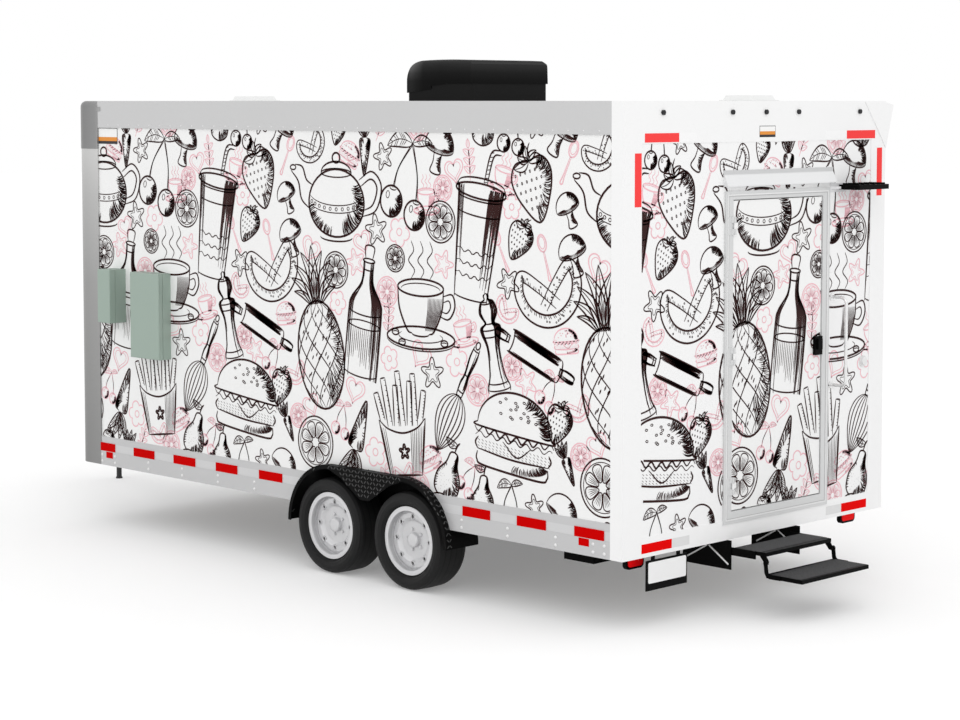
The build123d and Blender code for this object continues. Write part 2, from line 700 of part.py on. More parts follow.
with BuildPart() as entry_door:
    block((rear_x, rear_x + door_thickness), door_y, door_z)
    for z in hinge_levels:
        block((rear_x - 3, rear_x), (hinge_y - 42, hinge_y - door_gap), (z - 0.5 * knuckle, z + 0.5 * knuckle))
        with BuildSketch(Plane.XY.offset(z - 0.5 * knuckle)) as leaf:
            with BuildLine():
                Polyline((hinge_x, hinge_y), (hinge_x - 1, hinge_y - 6.5), (rear_x - 3, hinge_y - 24), (rear_x, hinge_y - 24),
                         (rear_x, hinge_y - door_gap - 1), (hinge_x + 4, hinge_y - 4), close=True)
            make_face()
        extrude(leaf.sketch, amount=knuckle)
        rod((hinge_x, hinge_y, z - 0.5 * knuckle), (hinge_x, hinge_y, z + 0.5 * knuckle), hinge_knuckle_radius)
        rod((hinge_x, hinge_y, z - 0.5 * knuckle), (hinge_x, hinge_y, z + 0.5 * knuckle),
            hinge_pin_radius + running_gap, mode=Mode.SUBTRACT)
save(entry_door, "entry_door")

latch_z = (sill_z + latch_above_sill, sill_z + latch_above_sill + latch_height)
with BuildPart() as door_latch:
    block((rear_x - 16, rear_x), (door_y[0] + 2, door_y[0] + 2 + latch_width), latch_z)
save(door_latch, "door_latch")

with BuildPart() as drip_cap:
    with BuildSketch(Plane.XZ.offset(-frame_y[1] - 10)) as section:
        low = frame_z[1] + drip_cap_above_frame
        top = low + drip_cap_height
        with BuildLine():
            Polyline((rear_skin_x, low), (rear_skin_x - drip_cap_out, low), (rear_skin_x - drip_cap_out, low + 6),
                     (rear_skin_x - 4, top - 23), (rear_skin_x - 4, top), (rear_skin_x, top), close=True)
        make_face()
    extrude(section.sketch, amount=frame_y[1] - frame_y[0] + 40, dir=(0, -1, 0))
save(drip_cap, "drip_cap")

# Grab handle: a bar on two stand-off legs beside the door.
handle_y = frame_y[0] - handle_from_frame
handle_z = (sill_z + handle_above_sill, sill_z + handle_above_sill + handle_length)
with BuildPart() as grab_handle:
    with BuildLine(Plane.XZ.offset(-handle_y)) as path:
        FilletPolyline((rear_skin_x, handle_z[0]), (rear_x - handle_out, handle_z[0]),
                       (rear_x - handle_out, handle_z[1]), (rear_skin_x, handle_z[1]), radius=32)
    with BuildSketch(Plane(origin=path.line @ 0, z_dir=path.line % 0)) as section:
        Circle(handle_radius)
    sweep(section.sketch, path=path.line)
    for z in handle_z:
        rod((rear_skin_x - 5, handle_y, z), (rear_skin_x, handle_y, z), 20)
save(grab_handle, "grab_handle")

# Scene lamp: a flat housing with cooling fins on top, held by an arm from a wall plate.
lamp_y = (frame_y[0] - lamp_from_frame - lamp_width, frame_y[0] - lamp_from_frame)
lamp_z = (roof_z - lamp_below_roof - lamp_height, roof_z - lamp_below_roof)
lamp_x = (rear_x - lamp_out, rear_x - 14)
fin_count = 6
fin_pitch = (lamp_width - 44) / (fin_count - 1)
with BuildPart() as flood_lamp:
    block(lamp_x, lamp_y, (lamp_z[0], lamp_z[1] - 8))
    fillet(flood_lamp.edges().filter_by(Axis.Z), radius=10)
    for number in range(fin_count):
        y = lamp_y[0] + 22 + number * fin_pitch
        block((lamp_x[0] + 16, lamp_x[1] - 16), (y - 3, y + 3), (lamp_z[1] - 9, lamp_z[1]))
save(flood_lamp, "flood_lamp")
arm_y_range = (lamp_y[1] - 90, lamp_y[1] + 50)
with BuildPart() as lamp_bracket:
    block((rear_skin_x - 4, rear_skin_x), (arm_y_range[0], arm_y_range[1]), (lamp_z[0] - 14, lamp_z[1]))
    block((lamp_x[1], rear_skin_x - 4), (lamp_y[1] - 36, lamp_y[1] - 4), (lamp_z[0] + 4, lamp_z[0] + 16))
    with BuildSketch(Plane.XY.offset(lamp_z[0] + 4)) as gusset:
        with BuildLine():
            Polyline((rear_skin_x - 4, lamp_y[1] - 4), (lamp_x[1], lamp_y[1]), (lamp_x[1] - 20, lamp_y[1]),
                     (lamp_x[1] - 20, lamp_y[1] + 5.5), (rear_skin_x - 4, lamp_y[1] + 46), close=True)
        make_face()
    extrude(gusset.sketch, amount=12)
save(lamp_bracket, "lamp_bracket")

# Round inlet cap low on the rear wall, right of the door.
with BuildPart() as inlet_cap:
    inlet = (inlet_from_side - half_width, sill_z + inlet_above_sill)
    rod((rear_skin_x - 9, *inlet), (rear_skin_x, *inlet), inlet_radius)
    rod((rear_skin_x - 17, *inlet), (rear_skin_x - 9, *inlet), inlet_radius - 7)
save(inlet_cap, "inlet_cap")

with BuildPart() as marker_lamps:
    outer = half_width - marker_from_side
    z = roof_z - marker_below_roof
    for offset in (-outer, -marker_spacing, 0, marker_spacing, outer):
        y = marker_middle_y + offset
        rod((rear_x - 10, y, z), (rear_x, y, z), marker_radius)
save(marker_lamps, "marker_lamps")

# Tail lamps: a lens in a rounded black housing hung from each end of the rear beam.
tail_x = (rear_x + tail_set_in, rear_x + tail_set_in + tail_housing_depth)
tail_lens = (4, tail_housing_width - 24, tail_housing_height - 12)     # proud of the housing, wide, high
with BuildPart() as tail_housings:
    for side in sides.values():
        y = (side * (half_width - tail_from_side - tail_housing_width), side * (half_width - tail_from_side))
        block(tail_x, y, (sill_z - tail_housing_height, sill_z))
    low = tail_housings.edges().filter_by(Axis.X).filter_by(lambda edge: edge.center().Z < sill_z - tail_housing_height + 5)
    fillet(low, radius=24)
save(tail_housings, "tail_housings")

with BuildPart() as tail_lamps:
    for side in sides.values():
        middle_y = side * (half_width - tail_from_side - tail_housing_width / 2)
        block((tail_x[0] - tail_lens[0], tail_x[0]), (middle_y - tail_lens[1] / 2, middle_y + tail_lens[1] / 2),
              (sill_z - tail_lens[2], sill_z))
    low = tail_lamps.edges().filter_by(Axis.X).filter_by(lambda edge: edge.center().Z < sill_z - tail_lens[2] + 5)
    fillet(low, radius=15)
save(tail_lamps, "tail_lamps")

# Licence plate: a blank white plate in a black frame with a deep lower bar, on two tabs.
plate_y = (half_width - plate_from_side - plate_width, half_width - plate_from_side)
plate_z = (sill_z - plate_drop - plate_height, sill_z - plate_drop)
with BuildPart() as plate_frame:
    block((rear_x + 6, rear_x + 12), plate_y, plate_z)
    for y in (plate_y[0] + 59, plate_y[1] - 59):
        block((rear_x + 12, rear_x + 18), (y - 12, y + 12), (plate_z[1] - 42, sill_z))
save(plate_frame, "plate_frame")
with BuildPart() as licence_plate:
    block((rear_x + 4, rear_x + 6), (plate_y[0] + 10, plate_y[1] - 14), (plate_z[0] + 36, plate_z[1] - 10))
    fillet(licence_plate.edges().filter_by(Axis.X), radius=9)
save(licence_plate, "licence_plate")

# ================= serving hatch =================
hatch_pivot_y = -(half_width + 8)
hatch_pivot_z = hatch_top_z - 4
frame_face = 40
hatch_hinges = [window_x[0] + window_width * share for share in (0.12, 0.5, 0.88)]
with BuildPart() as window_frame:
    with BuildSketch(Plane.XZ.offset(skin_y)) as ring:
        with Locations(((window_x[0] + window_x[1]) / 2, (window_z[0] + window_z[1]) / 2)):
            Rectangle(window_width + 2 * frame_face, window_height + 2 * frame_face)
            Rectangle(window_width - 16, window_height - 16, mode=Mode.SUBTRACT)
    extrude(ring.sketch, amount=trim_proud, dir=(0, -1, 0))
    with BuildSketch(Plane.XZ.offset(inner_y)) as ring:
        with Locations(((window_x[0] + window_x[1]) / 2, (window_z[0] + window_z[1]) / 2)):
            Rectangle(window_width, window_height)
            Rectangle(window_width - 16, window_height - 16, mode=Mode.SUBTRACT)
    extrude(ring.sketch, amount=wall_thickness, dir=(0, -1, 0))
    strut_x = (window_x[0] + 8 + strut_radius + 10, window_x[1] - 8 - strut_radius - 10)
    foot_y = -(inner_y - strut_inboard)
    foot_z = hatch_pivot_z - strut_foot_drop
    for x, end in zip(strut_x, (window_x[0], window_x[1])):
        inward = 1 if x > end else -1
        block((end, end + inward * 8), (-skin_y, foot_y + 14), (foot_z - 20, foot_z + 20))
        rod((end + inward * 8, foot_y, foot_z), (x + inward * 8, foot_y, foot_z), 4)
    for x in hatch_hinges:
        for low in (x - 81, x + 41):
            rod((low, hatch_pivot_y, hatch_pivot_z), (low + 40, hatch_pivot_y, hatch_pivot_z), hinge_knuckle_radius)
            block((low, low + 40), (hatch_pivot_y, -half_width), (hatch_pivot_z, hatch_pivot_z + 22))
        rod((x - 81, hatch_pivot_y, hatch_pivot_z), (x + 81, hatch_pivot_y, hatch_pivot_z), hinge_pin_radius)
save(window_frame, "window_frame")

hatch_x = (window_x[0] + 8 + hatch_gap, window_x[1] - 8 - hatch_gap)
hatch_y = (-(half_width - 2), -(half_width - 2 - hatch_thickness))
hatch_z = (window_z[0] + 8 + hatch_gap, window_z[1] - 8 - hatch_gap)
eye_y = foot_y
eye_z = hatch_pivot_z - rod_eye_drop
with BuildPart() as serving_hatch:
    block(hatch_x, hatch_y, hatch_z)
    for x, end in zip(strut_x, (window_x[0], window_x[1])):
        inward = 1 if x > end else -1
        block((x + inward * 14, x + inward * 20), (hatch_y[1], eye_y + 12), (eye_z - 16, eye_z + 16))
        rod((x + inward * 8, eye_y, eye_z), (x + inward * 20, eye_y, eye_z), 4)
    for x in hatch_hinges:
        with BuildSketch(Plane.YZ.offset(x - 40)) as strap:
            with BuildLine():
                face = hatch_y[0]
                Polyline((face, hatch_z[1] - 36), (face, hatch_z[1] - 2), (face - 3.5, hatch_z[1] + 3),
                         (face - 3.5, hatch_pivot_z), (hatch_pivot_y, hatch_pivot_z), (hatch_pivot_y - 5, hatch_pivot_z - 4),
                         (face - 5, hatch_z[1] - 36), close=True)
            make_face()
        extrude(strap.sketch, amount=80)
        rod((x - 40, hatch_pivot_y, hatch_pivot_z), (x + 40, hatch_pivot_y, hatch_pivot_z), hinge_knuckle_radius)
        rod((x - 40, hatch_pivot_y, hatch_pivot_z), (x + 40, hatch_pivot_y, hatch_pivot_z),
            hinge_pin_radius + running_gap, mode=Mode.SUBTRACT)
save(serving_hatch, "serving_hatch")

strut_start = Vector(0, foot_y, foot_z)
strut_end = Vector(0, eye_y, eye_z)
strut_way = (strut_end - strut_start).normalized()
cylinder_length = 380
with BuildPart() as strut_cylinders:
    for x in strut_x:
        low = Vector(x, foot_y, foot_z) + strut_way * 14
        high = Vector(x, foot_y, foot_z) + strut_way * cylinder_length
        rod(tuple(low), tuple(high), strut_radius)
        rod((x - 6, foot_y, foot_z), (x + 6, foot_y, foot_z), 16)
        rod((x - 6, foot_y, foot_z), (x + 6, foot_y, foot_z), 4 + running_gap, mode=Mode.SUBTRACT)
        bore_from = Vector(x, foot_y, foot_z) + strut_way * 40
        rod(tuple(bore_from), tuple(high + strut_way), rod_radius + running_gap, mode=Mode.SUBTRACT)
save(strut_cylinders, "strut_cylinders")

with BuildPart() as strut_rods:
    for x in strut_x:
        low = Vector(x, foot_y, foot_z) + strut_way * 48
        high = Vector(x, eye_y, eye_z) - strut_way * 10
        rod(tuple(low), tuple(high), rod_radius)
        rod((x - 6, eye_y, eye_z), (x + 6, eye_y, eye_z), 11)
        rod((x - 6, eye_y, eye_z), (x + 6, eye_y, eye_z), 4 + running_gap, mode=Mode.SUBTRACT)
save(strut_rods, "strut_rods")

# Awning case along the right side's top, a wedge in section with an end plate behind.
with BuildPart() as awning_case:
    lip = (-half_width - awning_depth, roof_z - awning_lip_drop)
    foot = (-half_width, roof_z - awning_drop)
    with BuildSketch(Plane.YZ.offset(rear_x)) as section:
        with BuildLine():
            Polyline((-half_width, roof_z - awning_top_drop), lip, foot, close=True)
        make_face()
    extrude(section.sketch, amount=body_length - awning_front_gap)
    with BuildSketch(Plane.YZ.offset(rear_x - awning_plate)) as plate:
        with BuildLine():
            Polyline((-half_width + awning_plate_reach, roof_z - awning_top_drop), lip, foot, close=True)
        make_face()
    extrude(plate.sketch, amount=awning_plate)
save(awning_case, "awning_case")

# ================= boxes on the left wall and on the roof =================
# Two plain cabinets, each a folded shell with rounded edges and a lid seam.
def cabinet(from_front, width, above_sill, height, depth):
    """A wall cabinet from the wall's skin outwards, with a groove where its lid meets its back."""
    x = (front_x - from_front - width, front_x - from_front)
    z = (sill_z + above_sill, sill_z + above_sill + height)
    seam = (skin_y + 0.64 * depth, skin_y + 0.64 * depth + cabinet_groove)
    deep = cabinet_groove
    block(x, (skin_y, skin_y + depth), z)
    block((x[0] - 1, x[1] + 1), seam, (z[0] - 1, z[1] + 1), mode=Mode.SUBTRACT)
    block((x[0] + deep, x[1] - deep), seam, (z[0] + deep, z[1] - deep))


with BuildPart() as power_box:
    cabinet(power_box_from_front, power_box_width, power_box_above_sill, power_box_height, power_box_depth)
    face = skin_y + power_box_depth - 1
    fillet(power_box.edges().filter_by(lambda edge: edge.center().Y > face), radius=cabinet_round)
save(power_box, "power_box")

with BuildPart() as gas_box:
    cabinet(gas_box_from_front, gas_box_width, gas_box_above_sill, gas_box_height, gas_box_depth)
    face = skin_y + gas_box_depth - 1
    fillet(gas_box.edges().filter_by(lambda edge: edge.center().Y > face), radius=cabinet_round)
save(gas_box, "gas_box")

# Roof air conditioner: a moulded shroud, round at the front, over a plain lower casing.
ac_x = (rear_x + ac_from_rear, rear_x + ac_from_rear + ac_length)
with BuildPart() as ac_base:
    block((ac_x[0] + 4, ac_x[1] - 4), (4 - ac_half_width, ac_half_width - 4), (roof_z, roof_z + ac_casing))
    fillet(ac_base.edges().filter_by(Axis.Z), radius=14)
save(ac_base, "ac_base")
with BuildPart() as ac_shroud:
    with BuildSketch(Plane.XZ.offset(ac_half_width)) as section:
        with BuildLine():
            low = roof_z + ac_casing
            nose = Line((ac_x[1], low - 50), (ac_x[1], low + 16))
            brow = ThreePointArc(nose @ 1, (ac_x[1] - 34, roof_z + ac_height - 38), (ac_x[1] - 110, roof_z + ac_height - 4))
            crown = ThreePointArc(brow @ 1, ((ac_x[0] + ac_x[1]) / 2, roof_z + ac_height),
                                  (ac_x[0] + 26, roof_z + ac_height - 6))
            tail = Polyline(crown @ 1, (ac_x[0] + 4, roof_z + ac_height - 26), (ac_x[0], low), (ac_x[1] - 330, low),
                            (ac_x[1] - 200, low - 10), (ac_x[1] - 200, low - 28), nose @ 0)
        make_face()
    extrude(section.sketch, amount=2 * ac_half_width, dir=(0, 1, 0))
    with BuildSketch(Plane.YZ.offset(ac_x[0] - 1)) as front:
        with Locations((0, roof_z + ac_height / 2)):
            RectangleRounded(2 * ac_half_width, ac_height, ac_round)
        with Locations((0, roof_z + ac_height / 4)):
            Rectangle(2 * ac_half_width, ac_height / 2)
    extrude(front.sketch, amount=ac_x[1] - ac_x[0] + 2, mode=Mode.INTERSECT)
    block((ac_x[0] + 4, ac_x[1] - 4), (4 - ac_half_width, ac_half_width - 4), (low - 51, low), mode=Mode.SUBTRACT)
save(ac_shroud, "ac_shroud")

# Roof vents: a thin square flange with a low lid whose sides slope in.
vent_places = ((front_x - front_vent_from_front, 0), (rear_x + rear_vent_from_rear, -rear_vent_off_middle))
lid_half = vent_half - 6
with BuildPart() as roof_vents:
    for x, y in vent_places:
        block((x - vent_half, x + vent_half), (y - vent_half, y + vent_half), (roof_z, roof_z + vent_flange))
        with BuildSketch(Plane.XY.offset(roof_z + vent_flange)) as lid:
            with Locations((x, y)):
                RectangleRounded(2 * lid_half, 2 * lid_half, 26)
        extrude(lid.sketch, amount=vent_height - vent_flange, taper=vent_taper)
    fillet(roof_vents.edges().filter_by(lambda edge: edge.center().Z > roof_z + vent_height - 1), radius=6)
save(roof_vents, "roof_vents")

# ================= steps and stabilisers =================
# Side plates under the floor, a fixed upper tread and a lower tread that folds over it.
step_y = (step_middle_y - step_width / 2, step_middle_y + step_width / 2)
plate_x = (rear_x - carrier_out, rear_x + carrier_in)
plate_low_z = sill_z - carrier_drop
upper_x = (rear_x - upper_tread_out, rear_x - upper_tread_in)
upper_y = (step_y[0] + 7, step_y[1] - 7)
upper_top = sill_z - upper_tread_drop
lower_x = (rear_x - step_reach, rear_x - lower_tread_in)
lower_top = sill_z - lower_tread_drop
fold_x = rear_x - fold_out
fold_z = sill_z - fold_drop


def tread(x, y, top):
    """A tray tread: a flat top with lips turned down all round."""
    block(x, y, (top - step_tread_height, top))
    block((x[0] + step_sheet, x[1] - step_sheet), (y[0] + step_sheet, y[1] - step_sheet),
          (top - step_tread_height, top - step_sheet), mode=Mode.SUBTRACT)


with BuildPart() as step_frame:
    for y in (step_y[0] - step_plate, step_y[1]):
        block(plate_x, (y, y + step_plate), (plate_low_z, sill_z))
        face = y + step_plate
        apex = (rear_x + carrier_in / 2, sill_z - 14)
        for foot in ((plate_x[0] + 19, plate_low_z + 22), (plate_x[1] - 24, plate_low_z + 31)):
            length = math.hypot(foot[0] - apex[0], foot[1] - apex[1])
            with BuildSketch(Plane(origin=((apex[0] + foot[0]) / 2, face, (apex[1] + foot[1]) / 2),
                                   x_dir=(foot[0] - apex[0], 0, foot[1] - apex[1]), z_dir=(0, 1, 0))) as strut:
                SlotCenterToCenter(length, 10)
            extrude(strut.sketch, amount=3)
    block((plate_x[1] - 90, plate_x[1] - 50), step_y, (sill_z - 40, sill_z))
save(step_frame, "step_frame")

with BuildPart() as step_upper:
    tread(upper_x, upper_y, upper_top)
    for y in ((step_y[0], upper_y[0]), (upper_y[1], step_y[1])):
        block((upper_x[0] + 60, rear_x + 30), y, (upper_top - 40, upper_top))
    for y, way in ((upper_y[0] + 10, -1), (upper_y[1] - 10, 1)):
        with BuildSketch(Plane.XZ.offset(-y)) as ear:
            with BuildLine():
                Polyline((upper_x[0] + 40, upper_top - step_tread_height), (upper_x[0], upper_top - step_tread_height),
                         (fold_x - 9, fold_z + 6), (fold_x - 4, fold_z - 10), (fold_x + 14, fold_z - 8), close=True)
            make_face()
        extrude(ear.sketch, amount=6, dir=(0, way, 0))
        rod((fold_x, y, fold_z), (fold_x, y + way * 24, fold_z), step_pin_radius)
save(step_upper, "step_upper")

arm_outer = (upper_y[0] - 11, upper_y[1] + 11)
with BuildPart() as step_lower:
    tread(lower_x, (arm_outer[0] + 6, arm_outer[1] - 6), lower_top)
    for y, way in ((arm_outer[0], 1), (arm_outer[1], -1)):
        with BuildSketch(Plane.XZ.offset(-y)) as arm:
            with BuildLine():
                FilletPolyline((fold_x, fold_z), (fold_x - 8, lower_top - 10), (lower_x[1] - 90, lower_top - 10), radius=26)
            trace(line_width=step_arm_width)
            with Locations((fold_x, fold_z)):
                Circle(13)
                Circle(step_pin_radius + running_gap, mode=Mode.SUBTRACT)
        extrude(arm.sketch, amount=6, dir=(0, way, 0))
save(step_lower, "step_lower")

# Stabiliser jacks, folded up under the rear corners.
with BuildPart() as stabilisers:
    for side in sides.values():
        block((rear_x + stabiliser_from_rear, rear_x + stabiliser_from_rear + stabiliser_length),
              (side * (rail_outer_y - rail_width), side * (half_width - stabiliser_from_side)),
              (sill_z - stabiliser_height, sill_z))
save(stabilisers, "stabilisers")
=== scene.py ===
import math

import bpy
import numpy as np
from mathutils.bvhtree import BVHTree
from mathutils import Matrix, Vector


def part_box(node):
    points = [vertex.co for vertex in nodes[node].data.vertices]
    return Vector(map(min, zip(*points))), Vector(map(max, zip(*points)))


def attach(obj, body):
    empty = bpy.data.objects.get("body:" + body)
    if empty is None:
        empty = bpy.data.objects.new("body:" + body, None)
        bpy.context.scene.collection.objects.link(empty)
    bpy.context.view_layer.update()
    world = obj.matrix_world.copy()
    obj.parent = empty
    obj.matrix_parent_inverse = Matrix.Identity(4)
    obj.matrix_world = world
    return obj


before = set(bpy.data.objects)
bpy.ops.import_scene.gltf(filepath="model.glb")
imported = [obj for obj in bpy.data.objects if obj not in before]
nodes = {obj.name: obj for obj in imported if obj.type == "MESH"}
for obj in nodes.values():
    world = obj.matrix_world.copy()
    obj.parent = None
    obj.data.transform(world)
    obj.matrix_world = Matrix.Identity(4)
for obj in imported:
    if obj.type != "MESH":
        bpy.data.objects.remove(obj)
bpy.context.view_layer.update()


# ---- Viewpoint ----
# A long lens at roof height, behind and to the left of the trailer. The shift lowers
# the view so that the upright edges stay nearly upright.
lens = bpy.data.cameras.new("camera")
lens.lens = 86.07
lens.sensor_width = 36
lens.shift_y = -0.0985
lens.clip_end = 200
camera = bpy.data.objects.new("camera", lens)
bpy.context.scene.collection.objects.link(camera)
camera.location = (-9.886, 9.279, 2.576)
camera.rotation_euler = (math.radians(90 - 4.091), 0, math.radians(-135.01))
bpy.context.scene.camera = camera
bpy.context.scene.view_settings.view_transform = "Standard"


# ---- Studio ----
# An even pale sky and one broad soft lamp. The floor keeps the soft shadow below the
# trailer, and is as white as the sky wherever nothing stands over it.
def output_of(tree, kind, **inputs):
    """A new node of that kind with the named inputs set or linked; returns the node."""
    node = tree.nodes.new(kind)
    for name, value in inputs.items():
        socket = node.inputs[int(name[1:]) if name[0] == "i" and name[1:].isdigit() else name.replace("_", " ")]
        if isinstance(value, bpy.types.NodeSocket):
            tree.links.new(value, socket)
        else:
            socket.default_value = value
    return node


sky = bpy.data.worlds.new("sky")
bpy.context.scene.world = sky
sky.use_nodes = True
sky.node_tree.nodes.clear()
seen = output_of(sky.node_tree, "ShaderNodeLightPath")
either = output_of(sky.node_tree, "ShaderNodeMath", i0=seen.outputs["Is Camera Ray"],
                   i1=seen.outputs["Is Transmission Ray"])
either.operation = "MAXIMUM"
sky_lit, sky_seen = 1.03, 1.0
shown = output_of(sky.node_tree, "ShaderNodeMix", Factor=either.outputs[0], A=sky_lit, B=sky_seen)
backing = output_of(sky.node_tree, "ShaderNodeBackground", Color=(1, 1, 1, 1), Strength=shown.outputs[0])
sky.node_tree.links.new(backing.outputs[0], output_of(sky.node_tree, "ShaderNodeOutputWorld").inputs["Surface"])

lamp_data = bpy.data.lights.new("soft_lamp", "AREA")
lamp_data.shape = "DISK"
lamp_data.size = 6.0
lamp_data.energy = 130
lamp = bpy.data.objects.new("soft_lamp", lamp_data)
bpy.context.scene.collection.objects.link(lamp)
lamp.location = (-9.0, 7.5, 7.5)
lamp.rotation_euler = (math.radians(61), 0, math.radians(-130))

floor_paper = bpy.data.materials.new("studio_floor")
floor_paper.use_nodes = True
paper = floor_paper.node_tree
paper.nodes.clear()
seen = output_of(paper, "ShaderNodeLightPath")
matt = output_of(paper, "ShaderNodeBsdfDiffuse", Color=(0.80, 0.80, 0.80, 1))
lift = output_of(paper, "ShaderNodeMath", i0=seen.outputs["Is Camera Ray"], i1=seen.outputs["Is Glossy Ray"])
lift.operation = "MAXIMUM"
floor_glow = 0.22
glow = output_of(paper, "ShaderNodeMath", i0=lift.outputs[0], i1=floor_glow)
glow.operation = "MULTIPLY"
fill = output_of(paper, "ShaderNodeEmission", Color=(1, 1, 1, 1), Strength=glow.outputs[0])
both = output_of(paper, "ShaderNodeAddShader", i0=matt.outputs[0], i1=fill.outputs[0])
paper.links.new(both.outputs[0], output_of(paper, "ShaderNodeOutputMaterial").inputs["Surface"])

studio_reach = 60.0
floor_mesh = bpy.data.meshes.new("studio_floor")
floor_mesh.from_pydata([(-studio_reach, -studio_reach, 0), (studio_reach, -studio_reach, 0),
                        (studio_reach, studio_reach, 0), (-studio_reach, studio_reach, 0)], [], [(0, 1, 2, 3)])
floor_mesh.materials.append(floor_paper)
studio_floor = bpy.data.objects.new("studio_floor", floor_mesh)
bpy.context.scene.collection.objects.link(studio_floor)


# ---- Chassis ----
# Welded box-section rails, cross members and outriggers, painted satin black after
# welding, with the torsion axles bolted below.
def coated(name, colour, roughness, metallic=0.0, tone=0.08, drift=1.5, grain=60.0, bump=0.15,
           depth=0.0006, stretch=(1, 1, 1), coat=0.0, wear=0.04, shine=0.5):
    """A finish on Object coordinates: the colour drifts slowly by tone, the roughness varies with
    a finer noise by wear, and the same fine noise, stretched along the grain, lifts the surface."""
    finish = bpy.data.materials.new(name)
    finish.use_nodes = True
    tree = finish.node_tree
    shader = tree.nodes["Principled BSDF"]
    shader.inputs["Metallic"].default_value = metallic
    shader.inputs["Specular IOR Level"].default_value = shine
    shader.inputs["Coat Weight"].default_value = coat
    shader.inputs["Coat Roughness"].default_value = 0.12
    place = output_of(tree, "ShaderNodeTexCoord")
    turned = output_of(tree, "ShaderNodeMapping", Vector=place.outputs["Object"], Scale=stretch)
    slow = output_of(tree, "ShaderNodeTexNoise", Vector=place.outputs["Object"], Scale=drift, Detail=4.0)
    fine = output_of(tree, "ShaderNodeTexNoise", Vector=turned.outputs[0], Scale=grain, Detail=6.0)
    low = tuple(c * (1 - tone) for c in colour) + (1,)
    high = tuple(min(1.0, c * (1 + tone)) for c in colour) + (1,)
    mixed = output_of(tree, "ShaderNodeMix")
    mixed.data_type = "RGBA"
    tree.links.new(slow.outputs["Fac"], mixed.inputs["Factor"])
    mixed.inputs["A"].default_value = low
    mixed.inputs["B"].default_value = high
    tree.links.new(mixed.outputs["Result"], shader.inputs["Base Color"])
    rough = output_of(tree, "ShaderNodeMapRange", Value=fine.outputs["Fac"])
    rough.inputs["To Min"].default_value = roughness - wear
    rough.inputs["To Max"].default_value = roughness + wear
    tree.links.new(rough.outputs[0], shader.inputs["Roughness"])
    lifted = output_of(tree, "ShaderNodeBump", Strength=bump, Distance=depth, Height=fine.outputs["Fac"])
    tree.links.new(lifted.outputs[0], shader.inputs["Normal"])
    return finish


def dress(finish, *names):
    """Gives the named CAD nodes that finish."""
    for name in names:
        nodes[name].data.materials.clear()
        nodes[name].data.materials.append(finish)


chassis_black = coated("chassis_black", (0.003, 0.003, 0.003), 0.55, bump=0.2, depth=0.0008, shine=0.03)
dress(chassis_black, "main_rails", "cross_members", "side_rails", "tongue_frame", "axles",
      "stabilisers", "jack_tube")
jack_steel = coated("jack_steel", (0.045, 0.045, 0.046), 0.4, metallic=0.4, shine=0.3)
dress(jack_steel, "jack_leg")
zinc = coated("zinc_plate", (0.62, 0.63, 0.64), 0.34, metallic=0.9, grain=25.0, tone=0.12)
dress(zinc, "coupler")

plywood = coated("sealed_plywood", (0.30, 0.25, 0.20), 0.55, tone=0.2, drift=6, stretch=(1, 12, 12), grain=9)
dress(plywood, "floor")


# ---- Walls and roof ----
# Composite panels with a gloss white skin, held between aluminium rails: a cove rail along
# the roof, a stepped rail along the floor and brushed posts at the front corners.
def shaded(finish, axis, stops, sharp=False):
    """The finish with its colour multiplied by grey tones of painted light and shade, set at places along an
    axis in metres. Along Y the place is the distance from the middle, so that both sides match."""
    tree = finish.node_tree
    shader = tree.nodes["Principled BSDF"]
    place = output_of(tree, "ShaderNodeTexCoord")
    parts = output_of(tree, "ShaderNodeSeparateXYZ", Vector=place.outputs["Object"])
    place_along = parts.outputs[axis]
    if axis == "Y":
        outward = output_of(tree, "ShaderNodeMath", i0=place_along)
        outward.operation = "ABSOLUTE"
        place_along = outward.outputs[0]
    share = output_of(tree, "ShaderNodeMapRange", Value=place_along)
    share.inputs["From Min"].default_value, share.inputs["From Max"].default_value = stops[0][0], stops[-1][0]
    tones = output_of(tree, "ShaderNodeValToRGB", Fac=share.outputs[0])
    ramp = tones.color_ramp
    ramp.interpolation = "CONSTANT" if sharp else "LINEAR"
    for number, (at, tone) in enumerate(stops):
        where = (at - stops[0][0]) / (stops[-1][0] - stops[0][0])
        stop = ramp.elements[number] if number < 2 else ramp.elements.new(where)
        stop.position, stop.color = where, (tone, tone, tone, 1)
    both = output_of(tree, "ShaderNodeMix", Factor=1.0)
    both.data_type, both.blend_type = "RGBA", "MULTIPLY"
    tree.links.new(shader.inputs["Base Color"].links[0].from_socket, both.inputs["A"])
    tree.links.new(tones.outputs["Color"], both.inputs["B"])
    tree.links.new(both.outputs["Result"], shader.inputs["Base Color"])
    return finish


wall_white = coated("gloss_white_wrap", (0.90, 0.90, 0.895), 0.32, tone=0.006, grain=2.2, bump=0.03,
                    depth=0.001, coat=0.2)
rear_white = coated("gloss_white_paint", (0.91, 0.91, 0.91), 0.30, tone=0.004, grain=3.0, bump=0.02,
                    depth=0.0006, coat=0.2)
dress(wall_white, "wall_left", "wall_right", "wall_front")
dress(rear_white, "wall_rear", "roof", "rear_frame")

